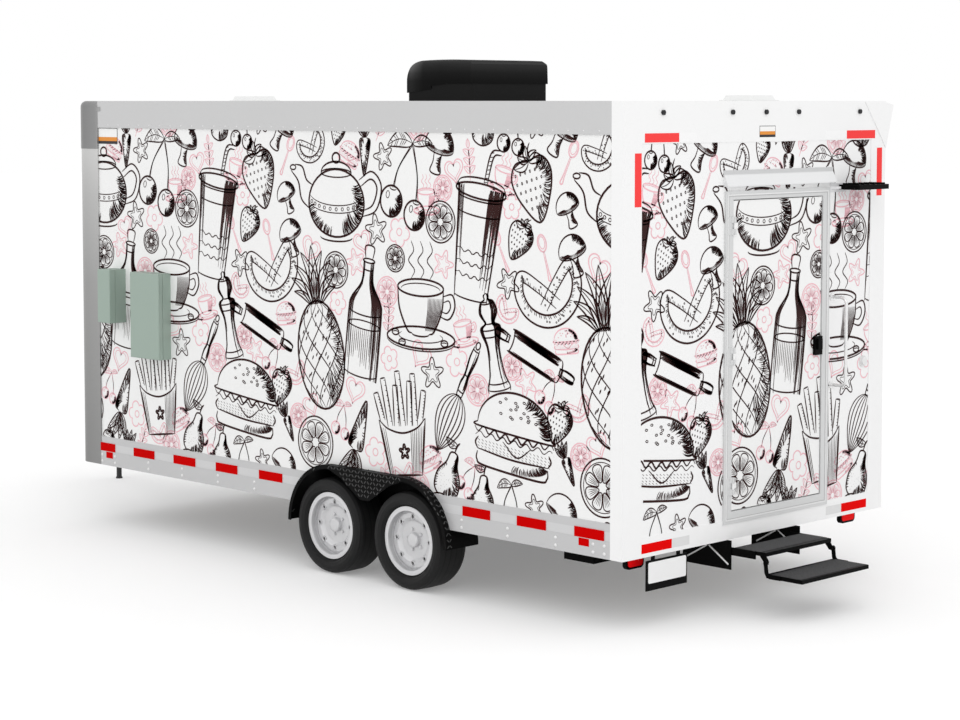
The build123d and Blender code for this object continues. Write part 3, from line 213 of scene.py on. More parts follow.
band_grey = coated("cove_rail", (0.59, 0.59, 0.592), 0.38, tone=0.02, stretch=(1, 30, 30), grain=12, metallic=0.1)
dress(band_grey, "top_rails")
sill_grey = coated("sill_rail_painted_light", (0.60, 0.60, 0.605), 0.38, tone=0.02, stretch=(1, 30, 30), grain=12, metallic=0.1)
# Painted light and shade: the rail is painted in three bands up its height, the middle one lighter as a lit face and
# those below and above it darker.
shaded(sill_grey, "Z", ((0.36, 0.93), (0.448, 1.06), (0.493, 0.94), (0.55, 0.94)), sharp=True)
dress(sill_grey, "side_sills")
post_grey = coated("brushed_post_painted_reflection", (0.62, 0.618, 0.612), 0.36, metallic=0.8, tone=0.05, stretch=(40, 40, 1), grain=10)
# A painted reflection: the post is painted darker towards the bottom and lighter towards the top, and a painted
# highlight runs near its front edge.
shaded(post_grey, "Z", ((0.36, 0.43), (0.80, 0.48), (1.48, 0.58), (2.00, 0.80), (2.29, 1.0)))
shaded(post_grey, "X", ((1.60, 1.0), (1.71, 0.92), (1.768, 0.9), (1.79, 1.25), (1.822, 1.2)))
dress(post_grey, "corner_posts")
cap_grey = coated("dark_cap_painted_shading", (0.27, 0.27, 0.27), 0.4, metallic=0.6)
# Painted light and shade across the rounded cap: lighter at its rear end and at its front edge, darker between.
shaded(cap_grey, "X", ((1.57, 1.5), (1.62, 1.0), (1.74, 0.85), (1.80, 1.1), (1.825, 1.1)))
dress(cap_grey, "corner_caps")


def piece(name, corners, faces, finish, slot, rides="trailer", smooth=False):
    """A new mesh of corners and four-cornered faces, with its finish and the body it rides on; the slot is not used."""
    mesh = bpy.data.meshes.new(name)
    mesh.vertices.add(len(corners))
    mesh.vertices.foreach_set("co", np.asarray(corners, float).ravel())
    mesh.loops.add(4 * len(faces))
    mesh.loops.foreach_set("vertex_index", np.asarray(faces, int).ravel())
    mesh.polygons.add(len(faces))
    mesh.polygons.foreach_set("loop_start", np.arange(len(faces)) * 4)
    mesh.polygons.foreach_set("use_smooth", np.full(len(faces), smooth))
    mesh.update(calc_edges=True)
    mesh.validate()
    mesh.materials.append(finish)
    made = bpy.data.objects.new(name, mesh)
    bpy.context.scene.collection.objects.link(made)
    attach(made, rides)
    return made


def repeated(faces, corners, times):
    """The faces of one thing with so many corners, numbered on for each of its copies."""
    return (faces[None] + corners * np.arange(times)[:, None, None]).reshape(-1, 4)


def domes(centres, normal, radius, rise, sides=8):
    """Low round heads at the centres: rings at falling heights along the normal, closed by a point."""
    centres, normal = np.asarray(centres, float), np.asarray(normal, float)
    across = np.roll(normal, 1)
    up = np.cross(normal, across)
    turn = np.linspace(0, 2 * np.pi, sides, endpoint=False)
    ring = np.cos(turn)[:, None] * across + np.sin(turn)[:, None] * up
    shares, heights = (1.0, 0.8, 0.35), (0.0, 0.7, 1.0)
    one = np.concatenate([share * radius * ring + height * rise * normal for share, height in zip(shares, heights)])
    k = np.arange(sides)
    n = (k + 1) % sides
    walls = [np.stack([level + k, level + n, level + sides + n, level + sides + k], -1) for level in (0, sides)]
    top = 2 * sides + np.arange(0, sides - 2, 2)
    lid = np.stack([np.full(len(top), 2 * sides), top + 1, top + 2, (top + 3 - 2 * sides) % sides + 2 * sides], -1)
    corners = (centres[:, None] + one).reshape(-1, 3)
    return corners, repeated(np.concatenate(walls + [lid]), len(one), len(centres))


box_faces = np.array([[0, 3, 2, 1], [4, 5, 6, 7], [0, 1, 5, 4], [1, 2, 6, 5], [2, 3, 7, 6], [3, 0, 4, 7]])


def slabs(boxes):
    """Closed boxes, each given by its lowest and its highest corner."""
    boxes = np.asarray(boxes, float)
    pick = np.array([[0, 0, 0], [1, 0, 0], [1, 1, 0], [0, 1, 0], [0, 0, 1], [1, 0, 1], [1, 1, 1], [0, 1, 1]])
    corners = np.take_along_axis(boxes, pick[None], axis=1).reshape(-1, 3)
    return corners, repeated(box_faces, len(pick), len(boxes))


# ---- Rivets and reflective tape ----
# Aluminium blind rivets hold the cove rail and join the sill rail to the cross members.
# Red and white tape is stuck along the sills, the rear header and the rear posts.
rear_x, side_y, sill_z = -2.646, 1.067, 0.36
rivet_metal = coated("rivet_aluminium", (0.80, 0.80, 0.80), 0.34, metallic=0.2)
band_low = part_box("top_rails")[0][2]
band_pitch, band_rise, band_head, band_from_rear, band_front_x = 0.102, 0.018, (0.0042, 0.002), 0.16, 1.58
sill_rivet_rows, sill_head = (0.024, 0.063), (0.0092, 0.0050)
sill_rivets = rear_x + np.array([4.234, 4.104, 3.770, 3.443, 3.108, 2.778, 1.104, 0.773, 0.441, 0.190, 0.117])
along = np.arange(rear_x + band_from_rear, band_front_x, band_pitch)
for side, out in (("left", 1), ("right", -1)):
    heads = np.stack([along, np.full(len(along), out * side_y), np.full(len(along), band_low + band_rise)], -1)
    piece(f"band_rivets_{side}", *domes(heads, (0, out, 0), *band_head), rivet_metal, "light_aluminium", smooth=True)
    heads = [(x, out * side_y, sill_z + up) for x in sill_rivets for up in sill_rivet_rows]
    piece(f"sill_rivets_{side}", *domes(heads, (0, out, 0), *sill_head), rivet_metal, "light_aluminium", smooth=True)

tape_red = coated("reflective_red", (0.60, 0.0, 0.0), 0.6, tone=0.03, shine=0.02)
header_red = coated("bright_red_tape", (0.95, 0.065, 0.065), 0.6, tone=0.02, shine=0.05)
low_red = coated("low_red_tape", (0.80, 0.001, 0.001), 0.6, tone=0.02, shine=0.03)
tape_white = coated("reflective_white", (0.74, 0.74, 0.74), 0.45, tone=0.02)
header_white = coated("header_white_tape", (0.93, 0.93, 0.93), 0.4, tone=0.01)
tape_thick, tape_root = 0.0006, 0.008
wide_spans = ((4.105, 4.251), (3.713, 3.916), (3.320, 3.525), (2.932, 3.127), (2.535, 2.737),
              (0.899, 1.097), (0.508, 0.708), (0.120, 0.315))
side_tapes = [(span, (0.087, 0.137)) for span in wide_spans]
side_tapes += [(span, (0.046, 0.084)) for span in ((4.126, 4.194), (0.217, 0.286))]
for side, out in (("left", 1), ("right", -1)):
    low, high = sorted((out * (side_y - tape_root), out * (side_y + tape_thick)))
    boxes = [((rear_x + a, low, sill_z + c), (rear_x + b, high, sill_z + d)) for (a, b), (c, d) in side_tapes]
    piece(f"sill_tapes_{side}", *slabs(boxes), tape_red, "red_lens")


def rear_strips(name, finish, slot, *spans):
    """Tapes on the flat rear frame, each given by its lowest and highest y and z."""
    boxes = [((rear_x - tape_thick, y0, z0), (rear_x, y1, z1)) for y0, y1, z0, z1 in spans]
    piece(name, *slabs(boxes), finish, slot)


header_level, post_level, low_level = (2.378, 2.422), (2.069, 2.327), (0.380, 0.426)
rear_strips("rear_tapes", header_red, "red_lens", (0.662, 0.917, *header_level), (-0.970, -0.713, *header_level),
            (0.940, 0.989, *post_level), (-1.036, -0.989, *post_level))
rear_strips("rear_low_tapes", low_red, "red_lens", (0.700, 0.927, *low_level), (-0.927, -0.700, *low_level))
rear_strips("rear_white_tapes", tape_white, "white_panel", (0.565, 0.700, *low_level), (-0.700, -0.565, *low_level))
rear_strips("header_white_tapes", header_white, "white_panel", (0.527, 0.662, *header_level),
            (-0.713, -0.527, *header_level))


def labels(name, finish, slot, rear, side, lift):
    """One layer of both labels: on the rear frame between y and z limits, on the left wall between
    x and z limits, and standing out from each by its lift."""
    (y0, y1, low, high), (x0, x1, bottom, top) = rear, side
    piece(name, *slabs([((rear_x - lift[0], y0, low), (rear_x, y1, high)),
                        ((x0, wall_y, bottom), (x1, wall_y + lift[1], top))]), finish, slot)


# Two small blank labels: dark film with a white field over an orange band.
label_white = coated("label_white", (0.92, 0.92, 0.91), 0.4)
label_orange = coated("label_orange", (0.78, 0.27, 0.015), 0.4)
label_dark = coated("label_edge", (0.03, 0.03, 0.035), 0.4, shine=0.2)
wall_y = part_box("wall_left")[1][1]
film_lift, print_lift = (0.0003, 0.0012), (0.0006, 0.0016)
labels("labels_edge", label_dark, "black_plastic", (-0.100, 0.031, 2.394, 2.452), (1.408, 1.598, 2.320, 2.415),
       film_lift)
labels("labels_orange", label_orange, "white_panel", (-0.097, 0.028, 2.407, 2.424), (1.412, 1.598, 2.337, 2.361),
       print_lift)
labels("labels_white", label_white, "white_panel", (-0.097, 0.028, 2.424, 2.449), (1.412, 1.598, 2.361, 2.412),
       print_lift)


# ---- Printed wrap ----
# A gloss vinyl film over the skin. One repeat of its print is a set of pen sketches of
# kitchen things, dark brown with small pink ones between them, in strokes with thin ends.
draw = np.random.default_rng(7)


def pair(x, y):
    """Plane points from their sideways and upward places."""
    return np.stack([x, y], -1)


def path(points, count=24):
    """A smooth pen path through given points: a Catmull-Rom spline at evenly spaced parameters."""
    p = np.asarray(points, float)
    p = np.vstack([2 * p[0] - p[1], p, 2 * p[-1] - p[-2]])
    t = np.linspace(0, len(p) - 3 - 1e-9, count)
    i = t.astype(int)
    f = (t - i)[:, None]
    a, b, c, d = p[i], p[i + 1], p[i + 2], p[i + 3]
    return (0.5 * (2 * b + (c - a) * f + (2 * a - 5 * b + 4 * c - d) * f ** 2 + (3 * b - a - 3 * c + d) * f ** 3))[None]


def oval(x, y, across, high, start=0, stop=360, count=36):
    """An elliptical pen path about a centre between two angles in degrees."""
    turn = np.radians(np.linspace(start, stop, count))
    return pair(x + across * np.cos(turn), y + high * np.sin(turn))[None]


def hatch(edge, centre, first, last, number, reach, count=6):
    """Short strokes from an outline towards a centre, between two shares of its length, each
    reaching in by a random part of the reach and bowed a little sideways."""
    denser, deeper, bow = 1.9, 1.2, 0.12
    number, reach = int(denser * number), deeper * reach
    share = (np.linspace(first, last, number) + draw.normal(0, 0.003, number)) % 1 * (edge.shape[1] - 1)
    low = share.astype(int)
    start = edge[0, low] + (edge[0, np.minimum(low + 1, edge.shape[1] - 1)] - edge[0, low]) * (share - low)[:, None]
    inward = (np.asarray(centre) - start) * (reach * draw.uniform(0.45, 1.0, number))[:, None]
    sideways = pair(-inward[:, 1], inward[:, 0]) * bow
    t = np.linspace(0, 1, count)[None, :, None]
    return start[:, None] + inward[:, None] * t + sideways[:, None] * (4 * t * (1 - t))


def turned(profile, levels=(), lean=0.16, shades=10, count=30):
    """A turned thing: both outlines, half rings at the levels, and shading lines that follow the
    profile at rising shares of its radius, each over a random part of its height."""
    r, y = path(profile, count)[0].T
    sides = np.stack([np.stack([-r, y], -1), np.stack([r, y], -1)])
    share = np.concatenate([np.linspace(0.38, 0.97, int(1.3 * shades)), np.linspace(-0.96, -0.78, 5)])
    start = draw.uniform(0.0, 0.35, len(share)) * (count - 1)
    stop = draw.uniform(0.55, 1.0, len(share)) * (count - 1)
    at = start[:, None] + (stop - start)[:, None] * np.linspace(0, 1, 14)
    index = np.arange(count)
    shading = pair(share[:, None] * np.interp(at, index, r), np.interp(at, index, y))
    bold = [(sides, 1.0)]
    for level in levels:
        across = float(np.interp(level, y, r))
        bold.append((oval(0, level, across, lean * across, 180, 360, 20), 0.7))
    return bold + [(shading, 0.45)]


def leaf(root, tip, wide, bend=0.0, veins=4):
    """A pointed leaf between two points: both edges, a midrib, and slanting veins."""
    root, tip = np.asarray(root, float), np.asarray(tip, float)
    along = tip - root
    side = np.array([-along[1], along[0]])
    t = np.linspace(0, 1, 14)[:, None]
    mid = root + along * t + side * bend * np.sin(np.pi * t)
    swell = side * wide * np.sin(np.pi * t ** 0.8) ** 0.8
    parts = [(np.stack([mid + swell, mid - swell]), 0.8), (mid[None], 0.45)]
    if veins:
        k = np.linspace(3, 10, veins).astype(int)
        f = np.linspace(0, 0.85, 4)[None, :, None]
        ahead = mid[np.minimum(k + 2, 13)][:, None] - mid[k][:, None]
        parts.append((np.concatenate([mid[k][:, None] + (s * swell[k][:, None] + ahead) * f for s in (-1, 1)]), 0.35))
    return parts


def moved(parts, x=0.0, y=0.0, size=1.0, turn=0.0, flip=1):
    """The parts turned by degrees, scaled and shifted."""
    c, s = np.cos(np.radians(turn)), np.sin(np.radians(turn))
    spin = np.array([[c, s], [-s, c]])
    return [((lines * (flip, 1)) @ spin * size + (x, y), weight) for lines, weight in parts]


def pineapple():
    """A pineapple: an oval body crossed by two sets of spiral lines, under a tuft of long leaves."""
    parts = [(oval(0, -0.16, 0.21, 0.33), 1.0)]
    y = np.linspace(-0.48, 0.16, 22)
    for way in (-1, 1):
        start = np.linspace(-4.2, 4.2, 13)[:, None]
        angle = start + way * y * 4.2
        r = 0.21 * np.sqrt(np.clip(1 - ((y + 0.16) / 0.33) ** 2, 0, 1))
        x = np.where(np.abs(angle) < 1.5, r * np.sin(np.clip(angle, -1.5, 1.5)), np.nan)
        parts.append((pair(x, y + 0 * x), 0.6))
    eyes = draw.uniform(-1, 1, (46, 2)) * (0.9, 0.27)
    eyes[:, 0] *= 0.19 * np.sqrt(1 - (eyes[:, 1] / 0.33) ** 2)
    t = np.linspace(-1, 1, 3)[None, :, None]
    parts.append((eyes[:, None] + (0, -0.16) + t * (0.008, 0.012), 0.8))
    parts.append((hatch(oval(0, -0.16, 0.21, 0.33, -70, 60), (0, -0.1), 0, 1, 34, 0.42), 0.4))
    for angle, length in zip(np.linspace(-62, 62, 9), (0.2, 0.26, 0.3, 0.34, 0.36, 0.33, 0.3, 0.25, 0.2)):
        a = np.radians(angle)
        parts += leaf((0.05 * np.sin(a), 0.15), (length * np.sin(a) * 1.1, 0.15 + length * np.cos(a)), 0.11,
                      0.12 * np.sign(angle), 0)
    return parts


def teapot():
    """A round teapot with a knobbed lid, a curved spout, a loop handle and a banded belly."""
    body = oval(0, -0.1, 0.33, 0.27)
    parts = [(body, 1.0), (oval(0, -0.37, 0.19, 0.035, 180, 360), 0.8), (oval(0, 0.14, 0.18, 0.09, 0, 180), 0.9),
             (oval(0, 0.14, 0.18, 0.035), 0.6), (oval(0, 0.26, 0.045, 0.04), 0.9),
             (oval(0, -0.02, 0.32, 0.1, 195, 345), 0.5), (oval(0, -0.08, 0.33, 0.1, 190, 350), 0.5),
             (path([(-0.31, -0.16), (-0.42, -0.08), (-0.46, 0.06), (-0.55, 0.15)]), 0.9),
             (path([(-0.29, 0.04), (-0.36, 0.08), (-0.41, 0.18), (-0.5, 0.2)]), 0.9),
             (oval(-0.525, 0.175, 0.035, 0.02, 0, 360, 12), 0.7),
             (path([(0.27, 0.09), (0.42, 0.16), (0.53, 0.05), (0.47, -0.14), (0.3, -0.2)]), 0.9),
             (path([(0.29, 0.04), (0.41, 0.1), (0.48, 0.03), (0.43, -0.1), (0.32, -0.15)]), 0.9)]
    parts.append((hatch(body, (0, 0), -0.2, 0.1, 44, 0.34), 0.45))
    parts.append((hatch(body, (0, 0), 0.52, 0.72, 26, 0.2), 0.4))
    spots = np.radians(np.linspace(205, 335, 11))
    centre = pair(0.325 * np.cos(spots), -0.05 + 0.1 * np.sin(spots))
    loop = oval(0, 0, 0.014, 0.014, 0, 360, 7)
    return parts + [(centre[:, None] + loop, 0.4)]


def cup():
    """A cup on a saucer with three curls of steam."""
    parts = [(oval(0, 0.08, 0.27, 0.07), 0.9), (oval(0, 0.065, 0.23, 0.05, 0, 180), 0.5),
             (path([(-0.27, 0.08), (-0.25, -0.1), (-0.16, -0.27), (-0.1, -0.3)]), 1.0),
             (path([(0.27, 0.08), (0.25, -0.1), (0.16, -0.27), (0.1, -0.3)]), 1.0),
             (oval(0, -0.3, 0.1, 0.02, 180, 360, 14), 0.8), (oval(0, -0.33, 0.4, 0.09), 0.9),
             (oval(0, -0.35, 0.4, 0.09, 180, 360), 0.6), (oval(0, -0.32, 0.26, 0.05, 150, 390), 0.5),
             (path([(0.26, 0.02), (0.37, 0.04), (0.4, -0.06), (0.33, -0.16), (0.22, -0.14)]), 0.9),
             (path([(0.26, -0.03), (0.33, -0.01), (0.35, -0.06), (0.31, -0.11), (0.24, -0.1)]), 0.7)]
    for x in (-0.11, 0.0, 0.11):
        parts.append((path([(x, 0.15), (x + 0.04, 0.22), (x - 0.03, 0.3), (x + 0.03, 0.38), (x, 0.46)]), 0.55))
    across = np.linspace(0.35, 0.94, 11)[:, None]
    y = np.linspace(0.0, -0.27, 12)
    r = np.interp(-y, (-0.08, 0.1, 0.27), (0.27, 0.25, 0.16))
    parts.append((pair(across * r, y + 0 * across), 0.45))
    for x, y in ((-0.3, -0.3), (0.28, -0.36), (-0.22, -0.38)):
        parts += [(oval(x, y, 0.04, 0.026, 0, 360, 14), 0.7),
                  (path([(x - 0.035, y), (x, y + 0.008), (x + 0.035, y)], 6), 0.5)]
    return parts


def tumbler():
    """A tall lidded cup with a straw, tapered, ringed and shaded."""
    parts = turned([(0.15, -0.48), (0.2, 0.2), (0.21, 0.24)], (-0.46, 0.1, 0.2), 0.14, 14)
    parts += [(oval(0, 0.24, 0.23, 0.05), 0.9), (oval(0, 0.28, 0.21, 0.045, 0, 180), 0.8),
              (path([(-0.23, 0.24), (-0.21, 0.285)], 4), 0.8), (path([(0.23, 0.24), (0.21, 0.285)], 4), 0.8),
              (path([(0.02, 0.3), (0.06, 0.5), (0.15, 0.53)]), 0.8),
              (path([(0.05, 0.29), (0.085, 0.475), (0.155, 0.5)]), 0.8)]
    t = np.linspace(0, 1, 5)[:, None]
    band = np.linspace(0, 1, 8)[:, None, None]
    foot, top = np.array([0.02, 0.3]), np.array([0.06, 0.5])
    parts.append(((foot + (top - foot) * band[:, 0])[:, None] + (0.028, 0.008) * t, 0.4))
    wave = np.linspace(-1, 1, 20)
    for y in (-0.3, -0.22, -0.14):
        parts.append((pair(wave * np.interp(y, (-0.48, 0.2), (0.15, 0.2)), y - 0.03 * np.sqrt(1 - wave ** 2) +
                                0.012 * np.sin(wave * 14))[None], 0.55))
    return parts


def fries():
    """A paper carton of potato sticks: a flared front with a scooped top, and tilted bars behind it."""
    front = [(-0.2, -0.42), (0.2, -0.42), (0.29, 0.06), (0.18, -0.02), (0, -0.06), (-0.18, -0.02), (-0.29, 0.06)]
    parts = [(path([front[6], front[0]], 10), 1.0), (path([front[0], front[1]], 10), 1.0),
             (path([front[1], front[2]], 10), 1.0), (path(front[2:7], 30), 0.9)]
    for x, lean, top in ((-0.24, -12, 0.3), (-0.15, -7, 0.42), (-0.07, 3, 0.35), (0.01, -3, 0.47), (0.09, 6, 0.38),
                         (0.16, 2, 0.44), (0.23, 13, 0.3)):
        a = np.radians(lean)
        up, right = np.array([np.sin(a), np.cos(a)]), np.array([np.cos(a), -np.sin(a)]) * 0.03
        low = np.array([x, 0.0 if abs(x) < 0.2 else 0.05])
        high = np.array([x, 0.0]) + up * top
        corners = [low - right, high - right, high + right, low + right]
        parts += [(path([corners[0], corners[1]], 6), 0.75), (path([corners[1], corners[2]], 4), 0.75),
                  (path([corners[2], corners[3]], 6), 0.75)]
        f = np.linspace(0.1, 0.95, 9)[:, None, None]
        t = np.linspace(0.35, 1, 3)[None, :, None]
        parts.append((low + (high - low) * f + right * t, 0.35))
    x = np.linspace(0.03, 0.95, 12)[:, None]
    y = np.linspace(-0.4, 0.0, 10)
    wide = np.interp(y, (-0.42, 0.06), (0.2, 0.29))
    parts.append((pair(x * wide, y - 0.04 * (1 - x ** 2))[4:], 0.4))
    parts.append((pair(-x * wide, y - 0.04 * (1 - x ** 2))[9:], 0.4))
    return parts + moved(star(), 0, -0.22, 0.13)


def burger():
    """A bun with seeds, a ruffled leaf, a slice with a hanging corner, a grilled disc and a bun base."""
    dome = oval(0, 0.05, 0.42, 0.3, 0, 180, 40)
    parts = [(dome, 1.0), (path([(-0.42, 0.05), (-0.4, 0.01), (0.4, 0.01), (0.42, 0.05)]), 0.9)]
    x = np.linspace(-0.45, 0.45, 60)
    parts.append((pair(x, -0.02 + 0.025 * np.sin(x * 50) - 0.01 * np.cos(x * 7))[None], 0.9))
    parts.append((pair(x * 0.97, -0.055 + 0.02 * np.sin(x * 46 + 1))[None], 0.6))
    parts += [(path([(way * 0.4, -0.08), (way * 0.43, -0.13), (way * 0.4, -0.18)], 10), 0.9) for way in (-1, 1)]
    parts += [(path([(-0.4, -0.18), (0, -0.2), (0.4, -0.18)]), 0.9),
              (path([(-0.12, -0.07), (0.05, -0.17), (0.2, -0.07)]), 0.7),
              (path([(-0.4, -0.2), (-0.4, -0.27), (-0.3, -0.31), (0.3, -0.31), (0.4, -0.27), (0.4, -0.2)], 34), 1.0)]
    for y in (-0.1, -0.125, -0.15, -0.17):
        s = np.linspace(-0.4, 0.4, 20)[:, None]
        parts.append((pair(s + np.array([0, 0.02]), y + 0 * s + np.array([0, -0.012])), 0.55))
    seeds = pair(draw.uniform(-0.33, 0.33, 26), draw.uniform(0.12, 0.3, 26))
    seeds = seeds[(seeds[:, 0] / 0.38) ** 2 + ((seeds[:, 1] - 0.05) / 0.27) ** 2 < 0.9]
    parts.append((seeds[:, None] + oval(0, 0, 0.016, 0.009, 0, 360, 7), 0.4))
    parts.append((hatch(dome, (0, 0.05), 0.0, 0.4, 40, 0.28), 0.4))
    parts.append((hatch(oval(0, -0.2, 0.4, 0.11, 270, 360), (0.1, -0.1), 0, 1, 22, 0.3), 0.4))
    return parts


def pretzel():
    """A knotted pretzel: a thick rope on a crossed loop, drawn by its two edges, with salt."""
    mid = path([(-0.1, -0.2), (0.13, 0.02), (0.33, 0.16), (0.4, 0.0), (0.32, -0.2), (0.12, -0.33), (-0.12, -0.33),
                (-0.32, -0.2), (-0.4, 0.0), (-0.33, 0.16), (-0.13, 0.02), (0.1, -0.2)], 110)[0]
    step = np.gradient(mid, axis=0)
    side = pair(-step[:, 1], step[:, 0]) / np.linalg.norm(step, axis=1)[:, None]
    wide = (0.05 + 0.012 * np.sin(np.linspace(0, np.pi, 110)))[:, None]
    parts = [(np.stack([mid + side * wide, mid - side * wide]), 0.95)]
    k = np.linspace(3, 106, 70).astype(int)
    t = np.linspace(0.35, 0.95, 4)[None, :, None]
    parts.append((mid[k][:, None] - side[k][:, None] * 0.055 * t + step[k][:, None] * t, 0.4))
    salt = mid[draw.integers(2, 108, 34)] + draw.uniform(-0.03, 0.03, (34, 2))
    return parts + [(salt[:, None] + oval(0, 0, 0.009, 0.009, 0, 360, 6), 0.35)]


def whisk():
    """A balloon whisk: nested wire loops below a turned handle."""
    parts = []
    for across in (0.15, 0.11, 0.065, 0.022):
        t = np.linspace(0, 1, 30)
        for way in (-1, 1):
            x = way * across * np.sin(np.pi * t ** 0.75) ** 0.8
            parts.append((pair(x, 0.02 - 0.5 * t)[None], 0.65))
    handle = [(0.028, 0.0), (0.034, 0.12), (0.022, 0.2), (0.036, 0.34), (0.03, 0.44)]
    parts += turned(handle, (0.02, 0.06, 0.2, 0.42), 0.3, 5)
    return parts + [(oval(0, 0.46, 0.022, 0.03, 0, 360, 14), 0.7)]


def star():
    """A five-pointed biscuit with a small one inside it: the radius swells by a cosine five times
    in a turn, and a smaller one ten times a turn sharpens the points."""
    turn = np.radians(np.linspace(90, 450, 61))
    r = 0.36 + 0.13 * np.cos(5 * (turn - np.pi / 2)) + 0.02 * np.cos(10 * (turn - np.pi / 2))
    edge = pair(r * np.cos(turn), r * np.sin(turn))
    return [(edge[None], 1.0), (edge[None] * 0.62, 0.5)]


def cherries():
    """Two cherries on long stems that meet at a leaf."""
    parts = []
    for x, y, r in ((-0.17, -0.24, 0.16), (0.19, -0.3, 0.15)):
        edge = oval(x, y, r, r)
        parts += [(edge, 1.0), (hatch(edge, (x, y), -0.24, 0.12, 30, 0.55), 0.45),
                  (oval(x - r * 0.4, y + r * 0.35, r * 0.16, r * 0.24, 0, 360, 10), 0.4),
                  (oval(x, y + r * 0.86, r * 0.3, r * 0.12, 180, 360, 10), 0.6)]
    for shift in (-0.008, 0.012):
        parts += [(path([(-0.17 + shift, -0.1), (-0.13, 0.12), (0.02 + shift, 0.4)]), 0.7),
                  (path([(0.19 + shift, -0.17), (0.15, 0.1), (0.02 + shift, 0.4)]), 0.7)]
    return parts + leaf((0.02, 0.4), (-0.34, 0.3), 0.22, -0.15, 6) + leaf((0.02, 0.4), (0.3, 0.46), 0.2, 0.1, 5)


def strawberry():
    """A strawberry: a rounded cone with rows of seeds below a crown of small leaves."""
    edge = path([(0, 0.26), (0.2, 0.27), (0.3, 0.1), (0.22, -0.16), (0, -0.42), (-0.22, -0.16), (-0.3, 0.1),
                 (-0.2, 0.27), (0, 0.26)], 60)
    parts = [(edge, 1.0), (hatch(edge, (0, 0), 0.08, 0.5, 46, 0.42), 0.4)]
    rows = ((0.15, 0.23), (0.05, 0.23), (-0.05, 0.2), (-0.15, 0.14), (-0.25, 0.08))
    seeds = np.array([(x, y) for y, half in rows for x in np.arange(-half, half + 0.01, 0.075)])
    parts.append((seeds[:, None] + oval(0, 0, 0.009, 0.017, 0, 360, 7), 0.4))
    for angle in (-75, -38, 0, 38, 75):
        a = np.radians(angle)
        parts += leaf((0, 0.26), (0.24 * np.sin(a), 0.26 + 0.17 * np.cos(a) - 0.08 * abs(np.sin(a))), 0.24, 0.1, 0)
    return parts + [(path([(0, 0.27), (0.02, 0.38), (0.07, 0.45)], 8), 0.8)]


def lemon():
    """A slice of lemon: rind, pith and eight drawn segments."""
    parts = [(oval(0, 0, 0.45, 0.45, count=44), 1.0), (oval(0, 0, 0.39, 0.39, count=40), 0.5)]
    for k in range(8):
        a = np.radians(k * 45 + 22.5)
        turn = a + np.radians([-17, -19, -8, 8, 19, 17])
        r = np.array([0.1, 0.3, 0.36, 0.36, 0.3, 0.1])
        ring = pair(r * np.cos(turn), r * np.sin(turn))
        parts.append((path(np.vstack([ring, ring[:1]]), 20), 0.7))
        f = np.linspace(0.3, 0.85, 4)[None, :, None]
        spread = a + np.radians(np.linspace(-10, 10, 4))
        parts.append((pair(0.36 * np.cos(spread), 0.36 * np.sin(spread))[:, None] * f, 0.35))
    return parts


def bottle():
    """A stoppered bottle of oil with a label-less shoulder and a ring at the neck."""
    parts = turned([(0.16, -0.48), (0.17, -0.44), (0.17, -0.02), (0.15, 0.08), (0.06, 0.2), (0.05, 0.34), (0.06, 0.36)],
                   (-0.44, 0.0, 0.3), 0.2, 12)
    parts += [(oval(0, 0.36, 0.06, 0.015), 0.7),
              (path([(-0.035, 0.37), (-0.045, 0.46), (0.045, 0.46), (0.035, 0.37)], 14), 0.8),
              (oval(0, -0.1, 0.165, 0.03), 0.6)]
    x, down = np.linspace(-0.15, 0.15, 16)[:, None], np.linspace(0, 1, 8)
    keep = draw.uniform(0.4, 1.0, 16)[:, None]
    return parts + [(pair(x + 0 * down, -0.13 - 0.29 * keep * down), 0.35)]


def pear():
    """A pear with its stem and leaf, shaded down one side."""
    edge = path([(0, 0.3), (0.08, 0.26), (0.12, 0.1), (0.24, -0.1), (0.22, -0.34), (0, -0.44), (-0.22, -0.34),
                 (-0.24, -0.1), (-0.12, 0.1), (-0.08, 0.26), (0, 0.3)], 60)
    dots = draw.uniform(-1, 1, (30, 2)) * (0.16, 0.16) + (-0.03, -0.2)
    t = np.linspace(0, 1, 2)[None, :, None]
    return ([(edge, 1.0), (hatch(edge, (-0.02, -0.12), 0.06, 0.5, 52, 0.5), 0.42),
             (hatch(edge, (0, -0.1), 0.6, 0.8, 16, 0.2), 0.35), (dots[:, None] + t * (0.006, 0.004), 0.5),
             (path([(0, 0.3), (0.01, 0.4), (0.05, 0.47)], 8), 1.3)] + leaf((0.02, 0.4), (-0.24, 0.44), 0.22, 0.12, 5))


def rolling_pin():
    """A rolling pin lying across: a round barrel with two turned handles."""
    barrel = turned([(0.1, -0.3), (0.105, -0.2), (0.105, 0.2), (0.1, 0.3)], (-0.3, 0.29), 0.3, 13)
    grips = turned([(0.03, 0.0), (0.04, 0.1), (0.03, 0.17), (0.0, 0.18)], (0.02, 0.05), 0.3, 5)
    return barrel + moved(grips, 0, 0.3) + moved(grips, 0, -0.3, turn=180)


def mill():
    """A turned pepper mill with a round cap."""
    profile = [(0.15, -0.48), (0.15, -0.42), (0.1, -0.3), (0.08, -0.05), (0.13, 0.1), (0.13, 0.16), (0.06, 0.2),
               (0.12, 0.3), (0.09, 0.4), (0.03, 0.43), (0.035, 0.47), (0.0, 0.49)]
    return turned(profile, (-0.44, -0.38, 0.08, 0.15, 0.2, 0.4), 0.2, 10, 44)


